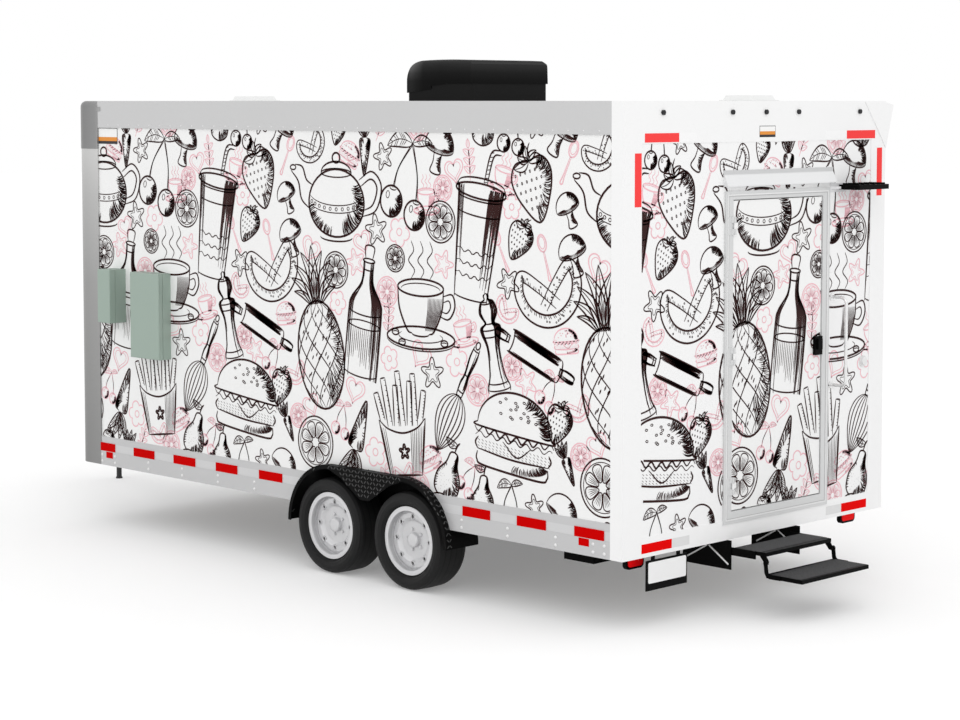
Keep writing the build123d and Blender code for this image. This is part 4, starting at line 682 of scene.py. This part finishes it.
def mushroom():
    """A mushroom: a domed cap over gills and a stout stem."""
    cap = oval(0, 0.02, 0.36, 0.34, 0, 180, 40)
    gill = np.radians(np.linspace(185, 355, 26))
    f = np.linspace(0.35, 1, 4)[None, :, None]
    rays = pair(0.35 * np.cos(gill), 0.11 * np.sin(gill))[:, None] * f + (0, 0.02)
    stem = [(-0.1, -0.06), (-0.09, -0.25), (-0.13, -0.42), (0, -0.46), (0.13, -0.42), (0.09, -0.25), (0.1, -0.06)]
    return [(cap, 1.0), (oval(0, 0.02, 0.36, 0.12, 180, 360), 0.9), (rays, 0.4),
            (hatch(cap, (0, 0), 0.0, 0.42, 34, 0.35), 0.4), (path(stem, 30), 1.0),
            (hatch(path(stem[4:], 14), (-0.1, -0.28), 0.05, 0.95, 14, 0.5), 0.4)]


def carrot():
    """A carrot with cross marks and a feathery top."""
    edge = path([(0.03, 0.12), (0.12, 0.08), (0.1, -0.1), (0.0, -0.48), (-0.1, -0.1), (-0.12, 0.08), (-0.03, 0.12)], 44)
    parts = [(edge, 1.0), (hatch(edge, (-0.03, -0.1), 0.06, 0.48, 34, 0.6), 0.4),
             (hatch(edge, (0, -0.1), 0.55, 0.95, 9, 0.45), 0.5)]
    for angle in (-34, -14, 8, 30):
        a = np.radians(angle)
        parts += leaf((0, 0.12), (0.36 * np.sin(a), 0.12 + 0.36 * np.cos(a)), 0.14, 0.06, 7)
    return parts


def heart():
    """A heart with a second line inside it: its sideways place goes with the cube of a sine, and its
    height with a cosine less parts of those of two, three and four times the angle."""
    t = np.linspace(0, 2 * np.pi, 44)
    tall = 13 * np.cos(t) - 5 * np.cos(2 * t) - 2 * np.cos(3 * t) - np.cos(4 * t)
    edge = pair(0.028 * 16 * np.sin(t) ** 3, 0.028 * tall)
    return [(edge[None], 1.0), (edge[None] * 0.72 + (0, 0.01), 0.6)]


def spoon():
    """A spoon: an oval bowl with an inner line, and a slim handle."""
    return [(oval(0, 0.3, 0.12, 0.18, count=26), 1.0), (oval(0, 0.31, 0.08, 0.13, count=20), 0.6),
            (path([(-0.015, 0.12), (-0.02, -0.3), (-0.035, -0.48), (0.035, -0.48), (0.02, -0.3), (0.015, 0.12)],
                  26), 1.0)]


def flower():
    """A five-petalled flower about a round eye: the radius swells with the size of a cosine, five
    times in a turn."""
    turn = np.radians(np.linspace(0, 360, 71))
    r = 0.3 + 0.14 * np.abs(np.cos(2.5 * turn)) ** 0.7
    return [(pair(r * np.cos(turn), r * np.sin(turn))[None], 1.0), (oval(0, 0, 0.11, 0.11, count=16), 0.8)]


def sprig():
    """A stem with paired leaves."""
    parts = [(path([(0, -0.48), (0.02, 0), (0, 0.3)], 14), 0.9)]
    for y in (-0.3, -0.1, 0.1):
        parts += leaf((0.01, y), (0.2, y + 0.16), 0.26, 0.1, 0) + leaf((0.01, y), (-0.18, y + 0.16), 0.26, -0.1, 0)
    return parts + leaf((0, 0.28), (0.0, 0.5), 0.24, 0, 0)


def inked(parts, pen):
    """Flat ribbons for pen strokes, as plane corners and faces. Each stroke is half a pen wide to either
    side of its path, thinner towards both ends unless it closes on itself, and has a gap at any NaN."""
    corners, faces, first = [], [], 0
    for lines, weight in parts:
        count = lines.shape[1]
        step = np.gradient(lines, axis=1)
        side = np.stack([-step[..., 1], step[..., 0]], -1)
        side /= np.maximum(np.linalg.norm(side, axis=2, keepdims=True), 1e-9)
        closed = np.linalg.norm(lines[:, 0] - lines[:, -1], axis=1) < 1e-6
        taper = np.where(closed[:, None], 1.0, 0.35 + 0.65 * np.sin(np.pi * np.linspace(0, 1, count)) ** 0.6)
        half = side * (0.5 * pen * weight * taper)[..., None]
        corners.append(np.stack([lines - half, lines + half], 2).reshape(-1, 2))
        start = first + 2 * (np.arange(len(lines))[:, None] * count + np.arange(count - 1))
        quads = np.stack([start, start + 2, start + 3, start + 1], -1).reshape(-1, 4)
        faces.append(quads)
        first += lines.shape[0] * count * 2
    corners, faces = np.concatenate(corners), np.concatenate(faces)
    return corners, faces[~np.isnan(corners[faces]).any((1, 2))]


# One repeat of the print: each sketch with its middle, its size in metres and its turn in degrees.
repeat = np.array([2.12, 1.90])
brown_sketches = (
    (teapot, 0.40, 1.56, 0.68, 0), (pineapple, 0.25, 0.80, 0.90, 8), (cup, 1.06, 1.02, 0.64, 0),
    (burger, 1.74, 0.36, 0.62, -6), (tumbler, 1.48, 1.40, 0.78, -8), (fries, 0.92, 0.33, 0.62, 7),
    (cherries, 0.95, 1.62, 0.52, -12), (pretzel, 1.97, 1.13, 0.50, 14), (whisk, 1.34, 0.52, 0.68, -28),
    (strawberry, 1.87, 1.63, 0.46, 16), (bottle, 0.63, 0.92, 0.76, -7), (lemon, 0.22, 0.17, 0.32, 0),
    (pear, 1.28, 0.13, 0.36, -20), (mushroom, 1.20, 1.80, 0.30, -14), (rolling_pin, 1.88, 0.78, 0.60, 68),
    (carrot, 0.56, 0.22, 0.48, 160), (mill, 1.59, 0.82, 0.52, 12), (star, 0.72, 1.36, 0.17, 10),
    (star, 1.70, 1.13, 0.16, 30), (lemon, 1.21, 1.42, 0.24, 0), (strawberry, 2.05, 0.46, 0.28, -20),
    (mushroom, 0.02, 1.30, 0.26, 20))


def sketched(sketches):
    """Every sketch in its place. Small ones are drawn with a finer pen."""
    return [(lines, weight * min(1.0, 0.42 + size)) for sketch, x, y, size, turn in sketches
            for lines, weight in moved(sketch(), x, y, size, turn)]


def scattered(kinds, laid, spread):
    """Sketches for the gaps: each takes, of many random places, the one farthest from everything laid so far,
    counted round the edges of the repeat. A laid sketch counts with copies of itself shrunk about its middle,
    so that nothing goes inside it; a new one without room is dropped."""
    added, taken = [], []
    shrunk, tries_each, lean = (1.0, 0.7, 0.4, 0.1), 400, 35

    def claim(sketch, x, y, size, turn):
        points = np.concatenate([lines.reshape(-1, 2)[::7] for lines, _ in moved(sketch(), 0, 0, size, turn)])
        points = points[~np.isnan(points[:, 0])]
        taken.append(np.concatenate([points * share + (x, y) for share in shrunk]))

    for known in laid:
        claim(*known)
    for sketch, size in kinds:
        tries = draw.uniform(0, 1, (tries_each, 2)) * repeat
        apart = np.abs(tries[:, None] - (np.concatenate(taken) % repeat)[None])
        apart = np.hypot(*np.moveaxis(np.minimum(apart, repeat - apart), -1, 0)).min(axis=1)
        best = int(apart.argmax())
        if apart[best] > spread * size:
            added.append((sketch, *tries[best], size, float(draw.uniform(-lean, lean))))
            claim(*added[-1])
    return added


brown_kinds = [(mushroom, 0.30), (carrot, 0.34), (strawberry, 0.28), (pear, 0.30), (cherries, 0.28), (lemon, 0.22),
               (pretzel, 0.26), (mushroom, 0.22), (star, 0.17), (carrot, 0.24), (star, 0.15), (strawberry, 0.19),
               (lemon, 0.16), (star, 0.13)]
pink_kinds = [(heart, 0.17), (flower, 0.18), (lemon, 0.18), (cup, 0.24), (cherries, 0.22), (sprig, 0.22), (spoon, 0.24),
              (star, 0.15), (burger, 0.19), (heart, 0.15), (pretzel, 0.18), (flower, 0.15), (lemon, 0.15)]
brown_room, pink_room = 0.34, 0.20
brown_pen, pink_pen = 0.0122, 0.0125
small_brown = scattered(brown_kinds, brown_sketches, brown_room)
small_pink = scattered(pink_kinds * 3, brown_sketches + tuple(small_brown), pink_room)
brown_art = inked(sketched(brown_sketches + tuple(small_brown)), brown_pen)
pink_art = inked(sketched(small_pink), pink_pen)


def ink(name, colour):
    """A printed ink under gloss film: its tone drifts a little from place to place."""
    return coated(name, colour, 0.4, tone=0.10, drift=5.0, bump=0.03, shine=0.12)


brown_ink = ink("brown_ink", (0.030, 0.006, 0.005))
pink_ink = ink("pink_ink", (0.87, 0.51, 0.56))


def wrapped(name, lowest, highest, normal, shift, lift, cut=None, rides="trailer", slot="white_panel"):
    """The print over a flat panel between two opposite corners, trimmed to it and left out where cut
    says so. Seen from outside, the repeats run to the right of the panel's lower left corner."""
    lowest, highest, normal = (np.asarray(v, float) for v in (lowest, highest, normal))
    right = np.cross((0.0, 0.0, 1.0), normal)
    left_corner = np.where(right >= 0, lowest, highest)
    left_corner[2] = lowest[2]
    size = np.array([abs(np.dot(highest - lowest, right)), highest[2] - lowest[2]])
    columns = np.arange(-1, int(size[0] / repeat[0]) + 3)
    rows = np.arange(-1, int(size[1] / repeat[1]) + 2)
    places = np.stack(np.meshgrid(columns, rows), -1).reshape(-1, 2) * repeat - (shift, 0)
    inks = (("brown", brown_art, brown_ink, 2 * lift), ("pink", pink_art, pink_ink, lift))
    for tone, (corners, faces), finish, out in inks:
        flat = (corners + places[:, None]).reshape(-1, 2)
        quads = repeated(faces, len(corners), len(places))
        middle = flat[quads].mean(axis=1)
        keep = ((middle > 0) & (middle < size)).all(axis=1)
        if cut is not None:
            keep &= ~cut(left_corner + middle[:, :1] * right + middle[:, 1:] * (0, 0, 1))
        used, quads = np.unique(quads[keep], return_inverse=True)
        flat = np.clip(flat[used], 0, size)
        place = left_corner + flat[:, :1] * right + flat[:, 1:] * (0, 0, 1) + out * normal
        piece(f"{name}_{tone}_print", place, quads.reshape(-1, 4), finish, slot, rides)


wall_low, wall_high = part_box("wall_left")
sill_top = sill_z + 0.175
film = 0.0004
fender_low, fender_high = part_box("fender_left")
fender_round, fender_lap = 0.341, 0.01


def in_fender(points):
    """Which points lie within the rounded outline of a fender on a side wall."""
    middle = 0.5 * (fender_low[0] + fender_high[0])
    reach = 0.5 * (fender_high[0] - fender_low[0])
    beyond = np.maximum(np.abs(points[:, 0] - middle) - (reach - fender_round), 0)
    above = np.maximum(points[:, 2] - (fender_high[2] - fender_round), 0)
    return np.hypot(beyond, above) < fender_round - fender_lap


def in_box(*names):
    """A test for points behind the boxes of those CAD nodes, seen square to the panel."""
    limits = [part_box(name) for name in names]

    def test(points):
        hit = np.zeros(len(points), bool)
        for low, high in limits:
            across = 1 if high[0] - low[0] < high[1] - low[1] else 0
            hit |= ((points[:, across] > low[across]) & (points[:, across] < high[across]) &
                    (points[:, 2] > low[2]) & (points[:, 2] < high[2]))
        return hit
    return test


wrapped("left", (wall_low[0], wall_high[1], sill_top), (wall_high[0], wall_high[1], band_low), (0, 1, 0), 0.35, film,
        in_fender)
right_low, right_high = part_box("wall_right")
window = in_box("window_frame")
wrapped("right", (right_low[0], right_low[1], sill_top), (right_high[0], right_low[1], band_low), (0, -1, 0), 1.1, film,
        lambda points: in_fender(points) | window(points))
front_low, front_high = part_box("wall_front")
wrapped("front", (front_high[0], front_low[1], sill_top), (front_high[0], front_high[1], band_low), (1, 0, 0), 0.6,
        film)
back_low, back_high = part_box("wall_rear")
door_low, door_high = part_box("entry_door")
frame_low, frame_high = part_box("door_frame")
wrapped("rear", tuple(back_low), (back_low[0], back_high[1], back_high[2]), (-1, 0, 0), 1.6, film,
        in_box("door_frame", "drip_cap"))

def struck(name, starts, direction):
    """Where straight lines from the starts first meet a CAD node, and the node's normals there; a
    line that misses gives no number."""
    mesh = nodes[name].data
    points = np.empty(3 * len(mesh.vertices))
    mesh.vertices.foreach_get("co", points)
    tree = BVHTree.FromPolygons(points.reshape(-1, 3).tolist(), [tuple(face.vertices) for face in mesh.polygons])
    hits = [tree.ray_cast(tuple(start), direction)[:2] for start in np.asarray(starts, float)]
    miss = (math.nan,) * 3
    return np.array([at or miss for at, _ in hits], float), np.array([normal or miss for _, normal in hits], float)


# The door leaf and the hatch carry the same print, on their own bodies.
leaf_x = struck("entry_door", [(-4, 0, 1.8)], (1, 0, 0))[0][0, 0]
leaf_y = (-0.500, 0.238)
wrapped("door", (leaf_x, leaf_y[0], door_low[2]), (leaf_x, leaf_y[1], door_high[2]), (-1, 0, 0), 0.15, film,
        rides="door")
hatch_low, hatch_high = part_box("serving_hatch")
hatch_y = struck("serving_hatch", [(-0.5, -4, 1.8)], (0, 1, 0))[0][0, 1]
hinge_strip = 0.03
wrapped("hatch", (hatch_low[0], hatch_y, hatch_low[2]), (hatch_high[0], hatch_y, hatch_high[2] - hinge_strip),
        (0, -1, 0), 0.4, film, rides="hatch")


# ---- Entry door ----
# An aluminium box-section frame screwed round the doorway, with a rolled bead along its
# middle, a folded drip cap above it and a bent bar to pull oneself up by.
frame_grey = coated("frame_extrusion", (0.66, 0.665, 0.665), 0.36, metallic=0.1, tone=0.02, grain=30)
dress(frame_grey, "door_frame")
dress(wall_white, "entry_door")
cap_finish_with_shade = coated("drip_cap_with_painted_shade", (0.80, 0.805, 0.81), 0.4, tone=0.01)
# The cap's white paint, with a band along its top painted darker as painted shade.
shaded(cap_finish_with_shade, "Z", ((2.150, 1.0), (2.205, 1.0), (2.212, 0.74), (2.231, 0.74)))
dress(cap_finish_with_shade, "drip_cap")


def border_of(low, high, inset, wide, thick, x):
    """Four slabs along the edges of an upright rectangle, set in from it, standing out of the plane at x."""
    (y0, z0), (y1, z1) = (low[0] + inset, low[1] + inset), (high[0] - inset, high[1] - inset)
    spans = ((y0, y0 + wide, z0, z1), (y1 - wide, y1, z0, z1),
             (y0 + wide, y1 - wide, z0, z0 + wide), (y0 + wide, y1 - wide, z1 - wide, z1))
    return slabs([((x - thick, a, c), (x, b, d)) for a, b, c, d in spans])


frame_x = struck("door_frame", [(-4, 0.285, 1.0)], (1, 0, 0))[0][0, 0]
# The bead is painted lighter than the frame as a painted highlight, and the thin strip further in is painted darker as
# painted shade for a groove; both stand just proud of the frame.
edge_light = coated("frame_bead_painted_highlight", (0.82, 0.82, 0.82), 0.35, tone=0.01)
edge_dark = coated("frame_groove_painted_shade", (0.47, 0.47, 0.47), 0.5, tone=0.02)
bead, groove = (0.016, 0.006, 0.002), (0.024, 0.003, 0.0006)
piece("door_frame_bead", *border_of(frame_low[1:], frame_high[1:], *bead, frame_x), edge_light, "light_aluminium")
piece("door_frame_groove", *border_of(frame_low[1:], frame_high[1:], *groove, frame_x), edge_dark, "light_aluminium")
gloss_black = coated("gloss_black", (0.003, 0.003, 0.003), 0.35, bump=0.03, shine=0.04)
dress(gloss_black, "door_latch")
bright = coated("bright_steel", (0.80, 0.80, 0.80), 0.25, metallic=0.7)
dress(bright, "grab_handle")
latch_low, latch_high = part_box("door_latch")
paddle_out, paddle_root, paddle_side, paddle_foot, paddle_head = 0.012, 0.004, 0.014, 0.03, 0.012
paddle = ((latch_low[0] - paddle_out, latch_low[1] + paddle_side, latch_low[2] + paddle_foot),
          (latch_low[0] + paddle_root, latch_high[1] - paddle_side, latch_high[2] - paddle_head))
piece("latch_paddle", *slabs([paddle]), gloss_black, "black_plastic", "door")


# ---- Serving hatch ----
# A printed panel in a light aluminium frame, hung on a hinge along its top and held up by
# two gas struts: black cylinders with bright rods. A white case for the rolled awning
# hangs above it.
dress(wall_white, "serving_hatch")
dress(frame_grey, "window_frame")
dress(chassis_black, "strut_cylinders")
dress(bright, "strut_rods")
dress(rear_white, "awning_case")


# ---- Fenders ----
# One folded fender of black tread plate a side, welded over both wheels. The raised bars
# lie in two slanting directions by turns, as they are rolled into such plate.
def bars(points, normals, slants, length, wide, rise):
    """Low six-sided humps: each lies on its point, long along its slant, and narrows towards its flat top."""
    points, normals, slants = (np.asarray(v, float) for v in (points, normals, slants))
    over = np.cross(normals, slants)
    outline = np.array([(-1, 0), (-0.6, -1), (0.6, -1), (1, 0), (0.6, 1), (-0.6, 1)]) * (0.5 * length, 0.5 * wide)
    root, top_share = 0.0005, 0.62
    flat = outline[None, :, :1] * slants[:, None] + outline[None, :, 1:] * over[:, None]
    rings = [points[:, None] + share * flat + up * normals[:, None] for share, up in ((1.0, -root), (top_share, rise))]
    k, n = np.arange(6), (np.arange(6) + 1) % 6
    face = np.concatenate([np.stack([k, n, n + 6, k + 6], -1), [[6, 7, 8, 9], [9, 10, 11, 6]]])
    return np.concatenate(rings, 1).reshape(-1, 3), repeated(face, 12, len(points))


fender_black = coated("fender_black", (0.0035, 0.0035, 0.0035), 0.42, shine=0.05)
# The raised bars are painted lighter and glossier than the plate, a painted highlight on them.
bar_painted_highlight = coated("tread_bars_painted_highlight", (0.030, 0.030, 0.030), 0.3, shine=0.5)
dress(fender_black, "fender_left", "fender_right")
bar_length, bar_wide, bar_rise, bar_pitch, bar_margin = 0.0255, 0.0072, 0.0018, 0.0245, 0.012
edge_bar_length, edge_rows, edge_angles = 0.024, (("inner", 0.016), ("outer", 0.034)), (-6, 187, 5.4)
diagonal, tip_share, flat_within, from_outside, from_edge = 0.7071, 0.62, 0.001, 3.0, 0.5
for side, out in (("left", 1), ("right", -1)):
    low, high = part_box(f"fender_{side}")
    skirt_y = high[1] if out > 0 else low[1]
    columns = np.arange(low[0] + bar_margin, high[0], bar_pitch)
    rows = np.arange(low[2] + bar_margin, high[2], bar_pitch)
    x, z = (v.ravel() for v in np.meshgrid(columns, rows))
    slant = np.where((np.add(*np.indices((len(rows), len(columns)))) % 2).ravel() > 0, 1.0, -1.0)
    direction = np.stack([np.full(len(x), diagonal), np.zeros(len(x)), diagonal * slant], -1)
    # Only bars whose both ends lie on the flat of the skirt are kept.
    fits = np.ones(len(x), bool)
    for end in (-tip_share, tip_share):
        tips = np.stack([x, np.full(len(x), from_outside * out), z], -1) + direction * end * bar_length
        at, _ = struck(f"fender_{side}", tips, (0, -out, 0))
        fits &= np.abs(at[:, 1] - skirt_y) < flat_within
    middle = np.stack([x, np.full(len(x), skirt_y), z], -1)[fits]
    normal = np.tile((0.0, float(out), 0.0), (len(middle), 1))
    piece(f"fender_bars_{side}", *bars(middle, normal, direction[fits], bar_length, bar_wide, bar_rise), bar_painted_highlight,
          "tread_plate")
    turn = np.radians(np.arange(*edge_angles))
    for row, share in edge_rows:
        corner_x = np.where(turn < 0.5 * np.pi, high[0] - fender_round, low[0] + fender_round)
        starts = np.stack([corner_x + from_edge * np.cos(turn), np.full(len(turn), skirt_y - out * share),
                           (high[2] - fender_round) + from_edge * np.sin(turn)], -1)
        hits = [struck(f"fender_{side}", [start], (-math.cos(a), 0, -math.sin(a))) for start, a in zip(starts, turn)]
        at, normal = (np.concatenate([hit[k] for hit in hits]) for k in (0, 1))
        good = ~np.isnan(at[:, 0]) & (np.abs(normal[:, 1]) < 0.1)
        at, normal = at[good], normal[good]
        tangent = np.cross((0.0, 1.0, 0.0), normal)
        way = np.where(np.arange(len(at)) % 2 == (row == "inner"), 1.0, -1.0)[:, None]
        slanted = diagonal * (tangent + way * (0, 1.0, 0))
        piece(f"fender_edge_bars_{side}_{row}", *bars(at, normal, slanted, edge_bar_length, bar_wide, bar_rise),
              bar_painted_highlight, "tread_plate")


# ---- Wheels ----
# Radial tyres on pressed steel rims, painted silver, with a dust cap over each hub. The
# rim is bolted on by five nuts, and the tyre is seated on its beads.
def collars(centres, out, outer, inner, rise, sides=20):
    """Rolled rims round holes: rings at radii between outer and inner, highest half way, facing along y."""
    turn = np.linspace(0, 2 * np.pi, sides, endpoint=False)
    circle = np.stack([np.cos(turn), 0 * turn, np.sin(turn)], -1)
    sunk_outside, sunk_inside = 0.001, 0.009
    steps = ((outer, -sunk_outside), (0.6 * outer + 0.4 * inner, rise), (0.5 * (outer + inner), rise),
             (inner, -sunk_inside))
    one = np.concatenate([radius * circle + (0, out * height, 0) for radius, height in steps])
    k = np.arange(sides)
    n = (k + 1) % sides
    face = np.concatenate([np.stack([a * sides + k, a * sides + n, b * sides + n, b * sides + k], -1)
                           for a, b in ((0, 1), (1, 2), (2, 3), (3, 0))])
    if out > 0:
        face = face[:, ::-1]
    return (np.asarray(centres)[:, None] + one).reshape(-1, 3), repeated(face, len(one), len(centres))


rubber = coated("tyre_rubber_groove_shade", (0.0125, 0.0125, 0.0127), 0.55, tone=0.08, shine=0.18)
# Painted shade: four dark bands round the tread stand for grooves, which the tyre's shape lacks.
shaded(rubber, "Y", ((0.880, 1.0), (0.930, 0.5), (0.937, 1.0), (0.968, 0.5), (0.975, 1.0), (1.008, 0.5), (1.015, 1.0),
                     (1.046, 0.5), (1.053, 1.0), (1.10, 1.0)), sharp=True)
wheel_paint_and_shade = coated("wheel_silver", (0.68, 0.68, 0.69), 0.30, metallic=0.35, tone=0.03)
# Painted shade and a painted highlight: the silver rim is painted darker in the well between its ridge and lip, and
# lighter on the lip.
shaded(wheel_paint_and_shade, "Y", ((0.90, 0.90), (1.020, 0.92), (1.030, 0.97), (1.043, 1.02), (1.048, 0.78), (1.066, 0.80),
                          (1.071, 1.04), (1.08, 1.04)))
hub_grey = coated("hub_grey", (0.66, 0.66, 0.67), 0.3, metallic=0.4)
hole_count, hole_circle, beside_hole, hole_rim = 8, 0.125, 0.0125, (0.0175, 0.0060, 0.004)
for end in ("front", "rear"):
    for side in ("left", "right"):
        dress(rubber, f"tyre_{end}_{side}")
        dress(wheel_paint_and_shade, f"rim_{end}_{side}")
        dress(hub_grey, f"hub_{end}_{side}")
        out = 1 if side == "left" else -1
        middle = np.mean(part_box(f"tyre_{end}_{side}"), axis=0)
        turn = np.radians(np.arange(hole_count) * 360.0 / hole_count)
        spots = middle + hole_circle * np.stack([np.cos(turn), 0 * turn, np.sin(turn)], -1)
        start = (middle[0] + hole_circle + beside_hole, from_outside * out, middle[2])
        spots[:, 1] = struck(f"rim_{end}_{side}", [start], (0, -out, 0))[0][0, 1]
        piece(f"hole_rims_{end}_{side}", *collars(spots, out, *hole_rim), wheel_paint_and_shade, "wheel_silver",
              f"wheel_{end}_{side}", smooth=True)


# ---- Rear lamps, plate and inlet ----
# Clearance lamps with dark lenses along the header, stop lamps in black housings under the
# sill, a plate in a black frame, and a weatherproof lid over the mains inlet.
red_lens = coated("red_lens", (0.98, 0.007, 0.009), 0.35, shine=0.04)
dress(red_lens, "tail_lamps")
dark_lens = coated("dark_lens", (0.012, 0.012, 0.014), 0.3, shine=0.25)
dress(dark_lens, "marker_lamps")
plate_white = coated("plate_white", (0.88, 0.88, 0.88), 0.4)
dress(plate_white, "licence_plate")
dress(gloss_black, "plate_frame", "tail_housings", "flood_lamp")
inlet_white = coated("inlet_white", (0.80, 0.80, 0.80), 0.45)
dress(inlet_white, "inlet_cap")
bracket_grey = coated("bracket_paint", (0.74, 0.74, 0.75), 0.4)
dress(bracket_grey, "lamp_bracket")


# ---- Steps ----
# A folding double step: pressed steel treads with a black grit sheet let into each, carried
# on two side plates below the floor. Two flat bars brace each plate.
step_black = coated("step_black", (0.002, 0.002, 0.002), 0.4, shine=0.04)
dress(step_black, "step_frame", "step_upper", "step_lower")
grit = coated("grit_sheet", (0.068, 0.068, 0.070), 0.85, grain=220, tone=1.0, drift=150, bump=0.7, depth=0.002,
              shine=0.2)
grit_inset, grit_under, grit_over, above_steps = 0.014, 0.001, 0.0012, 2.0
for name, rides in (("upper", "trailer"), ("lower", "lower_step")):
    low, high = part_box(f"step_{name}")
    columns = np.linspace(low[0] + grit_inset, high[0] - grit_inset, 9)
    top, normal = struck(f"step_{name}", [(x, 0.0, above_steps) for x in columns], (0, 0, -1))
    flat = top[(~np.isnan(top[:, 2])) & (normal[:, 2] > 0.9)]
    (x0, _, z0), (x1, _, z1) = flat[0], flat[-1]
    y0, y1 = low[1] + grit_inset, high[1] - grit_inset
    sheet = np.array([(x0, y0, z0), (x1, y0, z1), (x1, y1, z1), (x0, y1, z0)])
    corners = np.concatenate([sheet - (0, 0, grit_under), sheet + (0, 0, grit_over)])
    piece(f"grit_sheet_{name}", corners, box_faces, grit, "grit_tread", rides)

brace_grey = coated("zinc_brace", (0.86, 0.86, 0.86), 0.4)
brace_ends = (((-2.391, 0.245), (-2.520, 0.319)), ((-2.533, 0.321), (-2.660, 0.238)))
brace_half, brace_thick, plate_thick = 0.0035, 0.004, 0.006
frame_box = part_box("step_frame")
corners = []
for plate_y in (frame_box[1][1], frame_box[0][1] + plate_thick):
    for (x0, z0), (x1, z1) in brace_ends:
        start, stop = np.array((x0, plate_y, z0)), np.array((x1, plate_y, z1))
        over = np.cross((stop - start) / np.linalg.norm(stop - start), (0, 1, 0)) * brace_half
        ring = [start - over, stop - over, stop + over, start + over]
        corners += ring + [corner + (0, brace_thick, 0) for corner in ring]
piece("step_braces", corners, repeated(box_faces, 8, len(corners) // 8)[:, ::-1], brace_grey, "zinc")


# ---- Roof equipment ----
# A rooftop air conditioner: a gloss black moulded shroud over a black steel casing. Low
# white vent lids sit over the roof's two fans.
dull_black = coated("dull_black", (0.0125, 0.0125, 0.0125), 0.6, shine=0.04)
dress(dull_black, "ac_base")
shroud_painted_highlights = coated("shroud_painted_highlights", (0.004, 0.004, 0.004), 0.35, bump=0.02, shine=0.05)
# Painted highlights: the black shroud is painted lighter towards its front end and along its top, and darkest low down.
shaded(shroud_painted_highlights, "X", ((-0.853, 1.6), (-0.84, 1.2), (-0.60, 1.0), (-0.46, 1.3), (-0.40, 5.0), (-0.36, 9.0),
                           (-0.328, 6.0)))
shaded(shroud_painted_highlights, "Z", ((2.62, 0.4), (2.69, 0.5), (2.735, 1.5), (2.77, 3.6), (2.79, 4.6), (2.81, 3.0)))
dress(shroud_painted_highlights, "ac_shroud")
vent_white = coated("vent_white", (0.84, 0.845, 0.84), 0.45)
dress(vent_white, "roof_vents")


# ---- Wall boxes ----
# Two folded steel boxes painted sage green on the side wall: a gas regulator box and a
# power box, each with a lid hung on its edge.
sage = coated("sage_paint", (0.325, 0.41, 0.355), 0.42, tone=0.03)
dress(sage, "power_box", "gas_box")
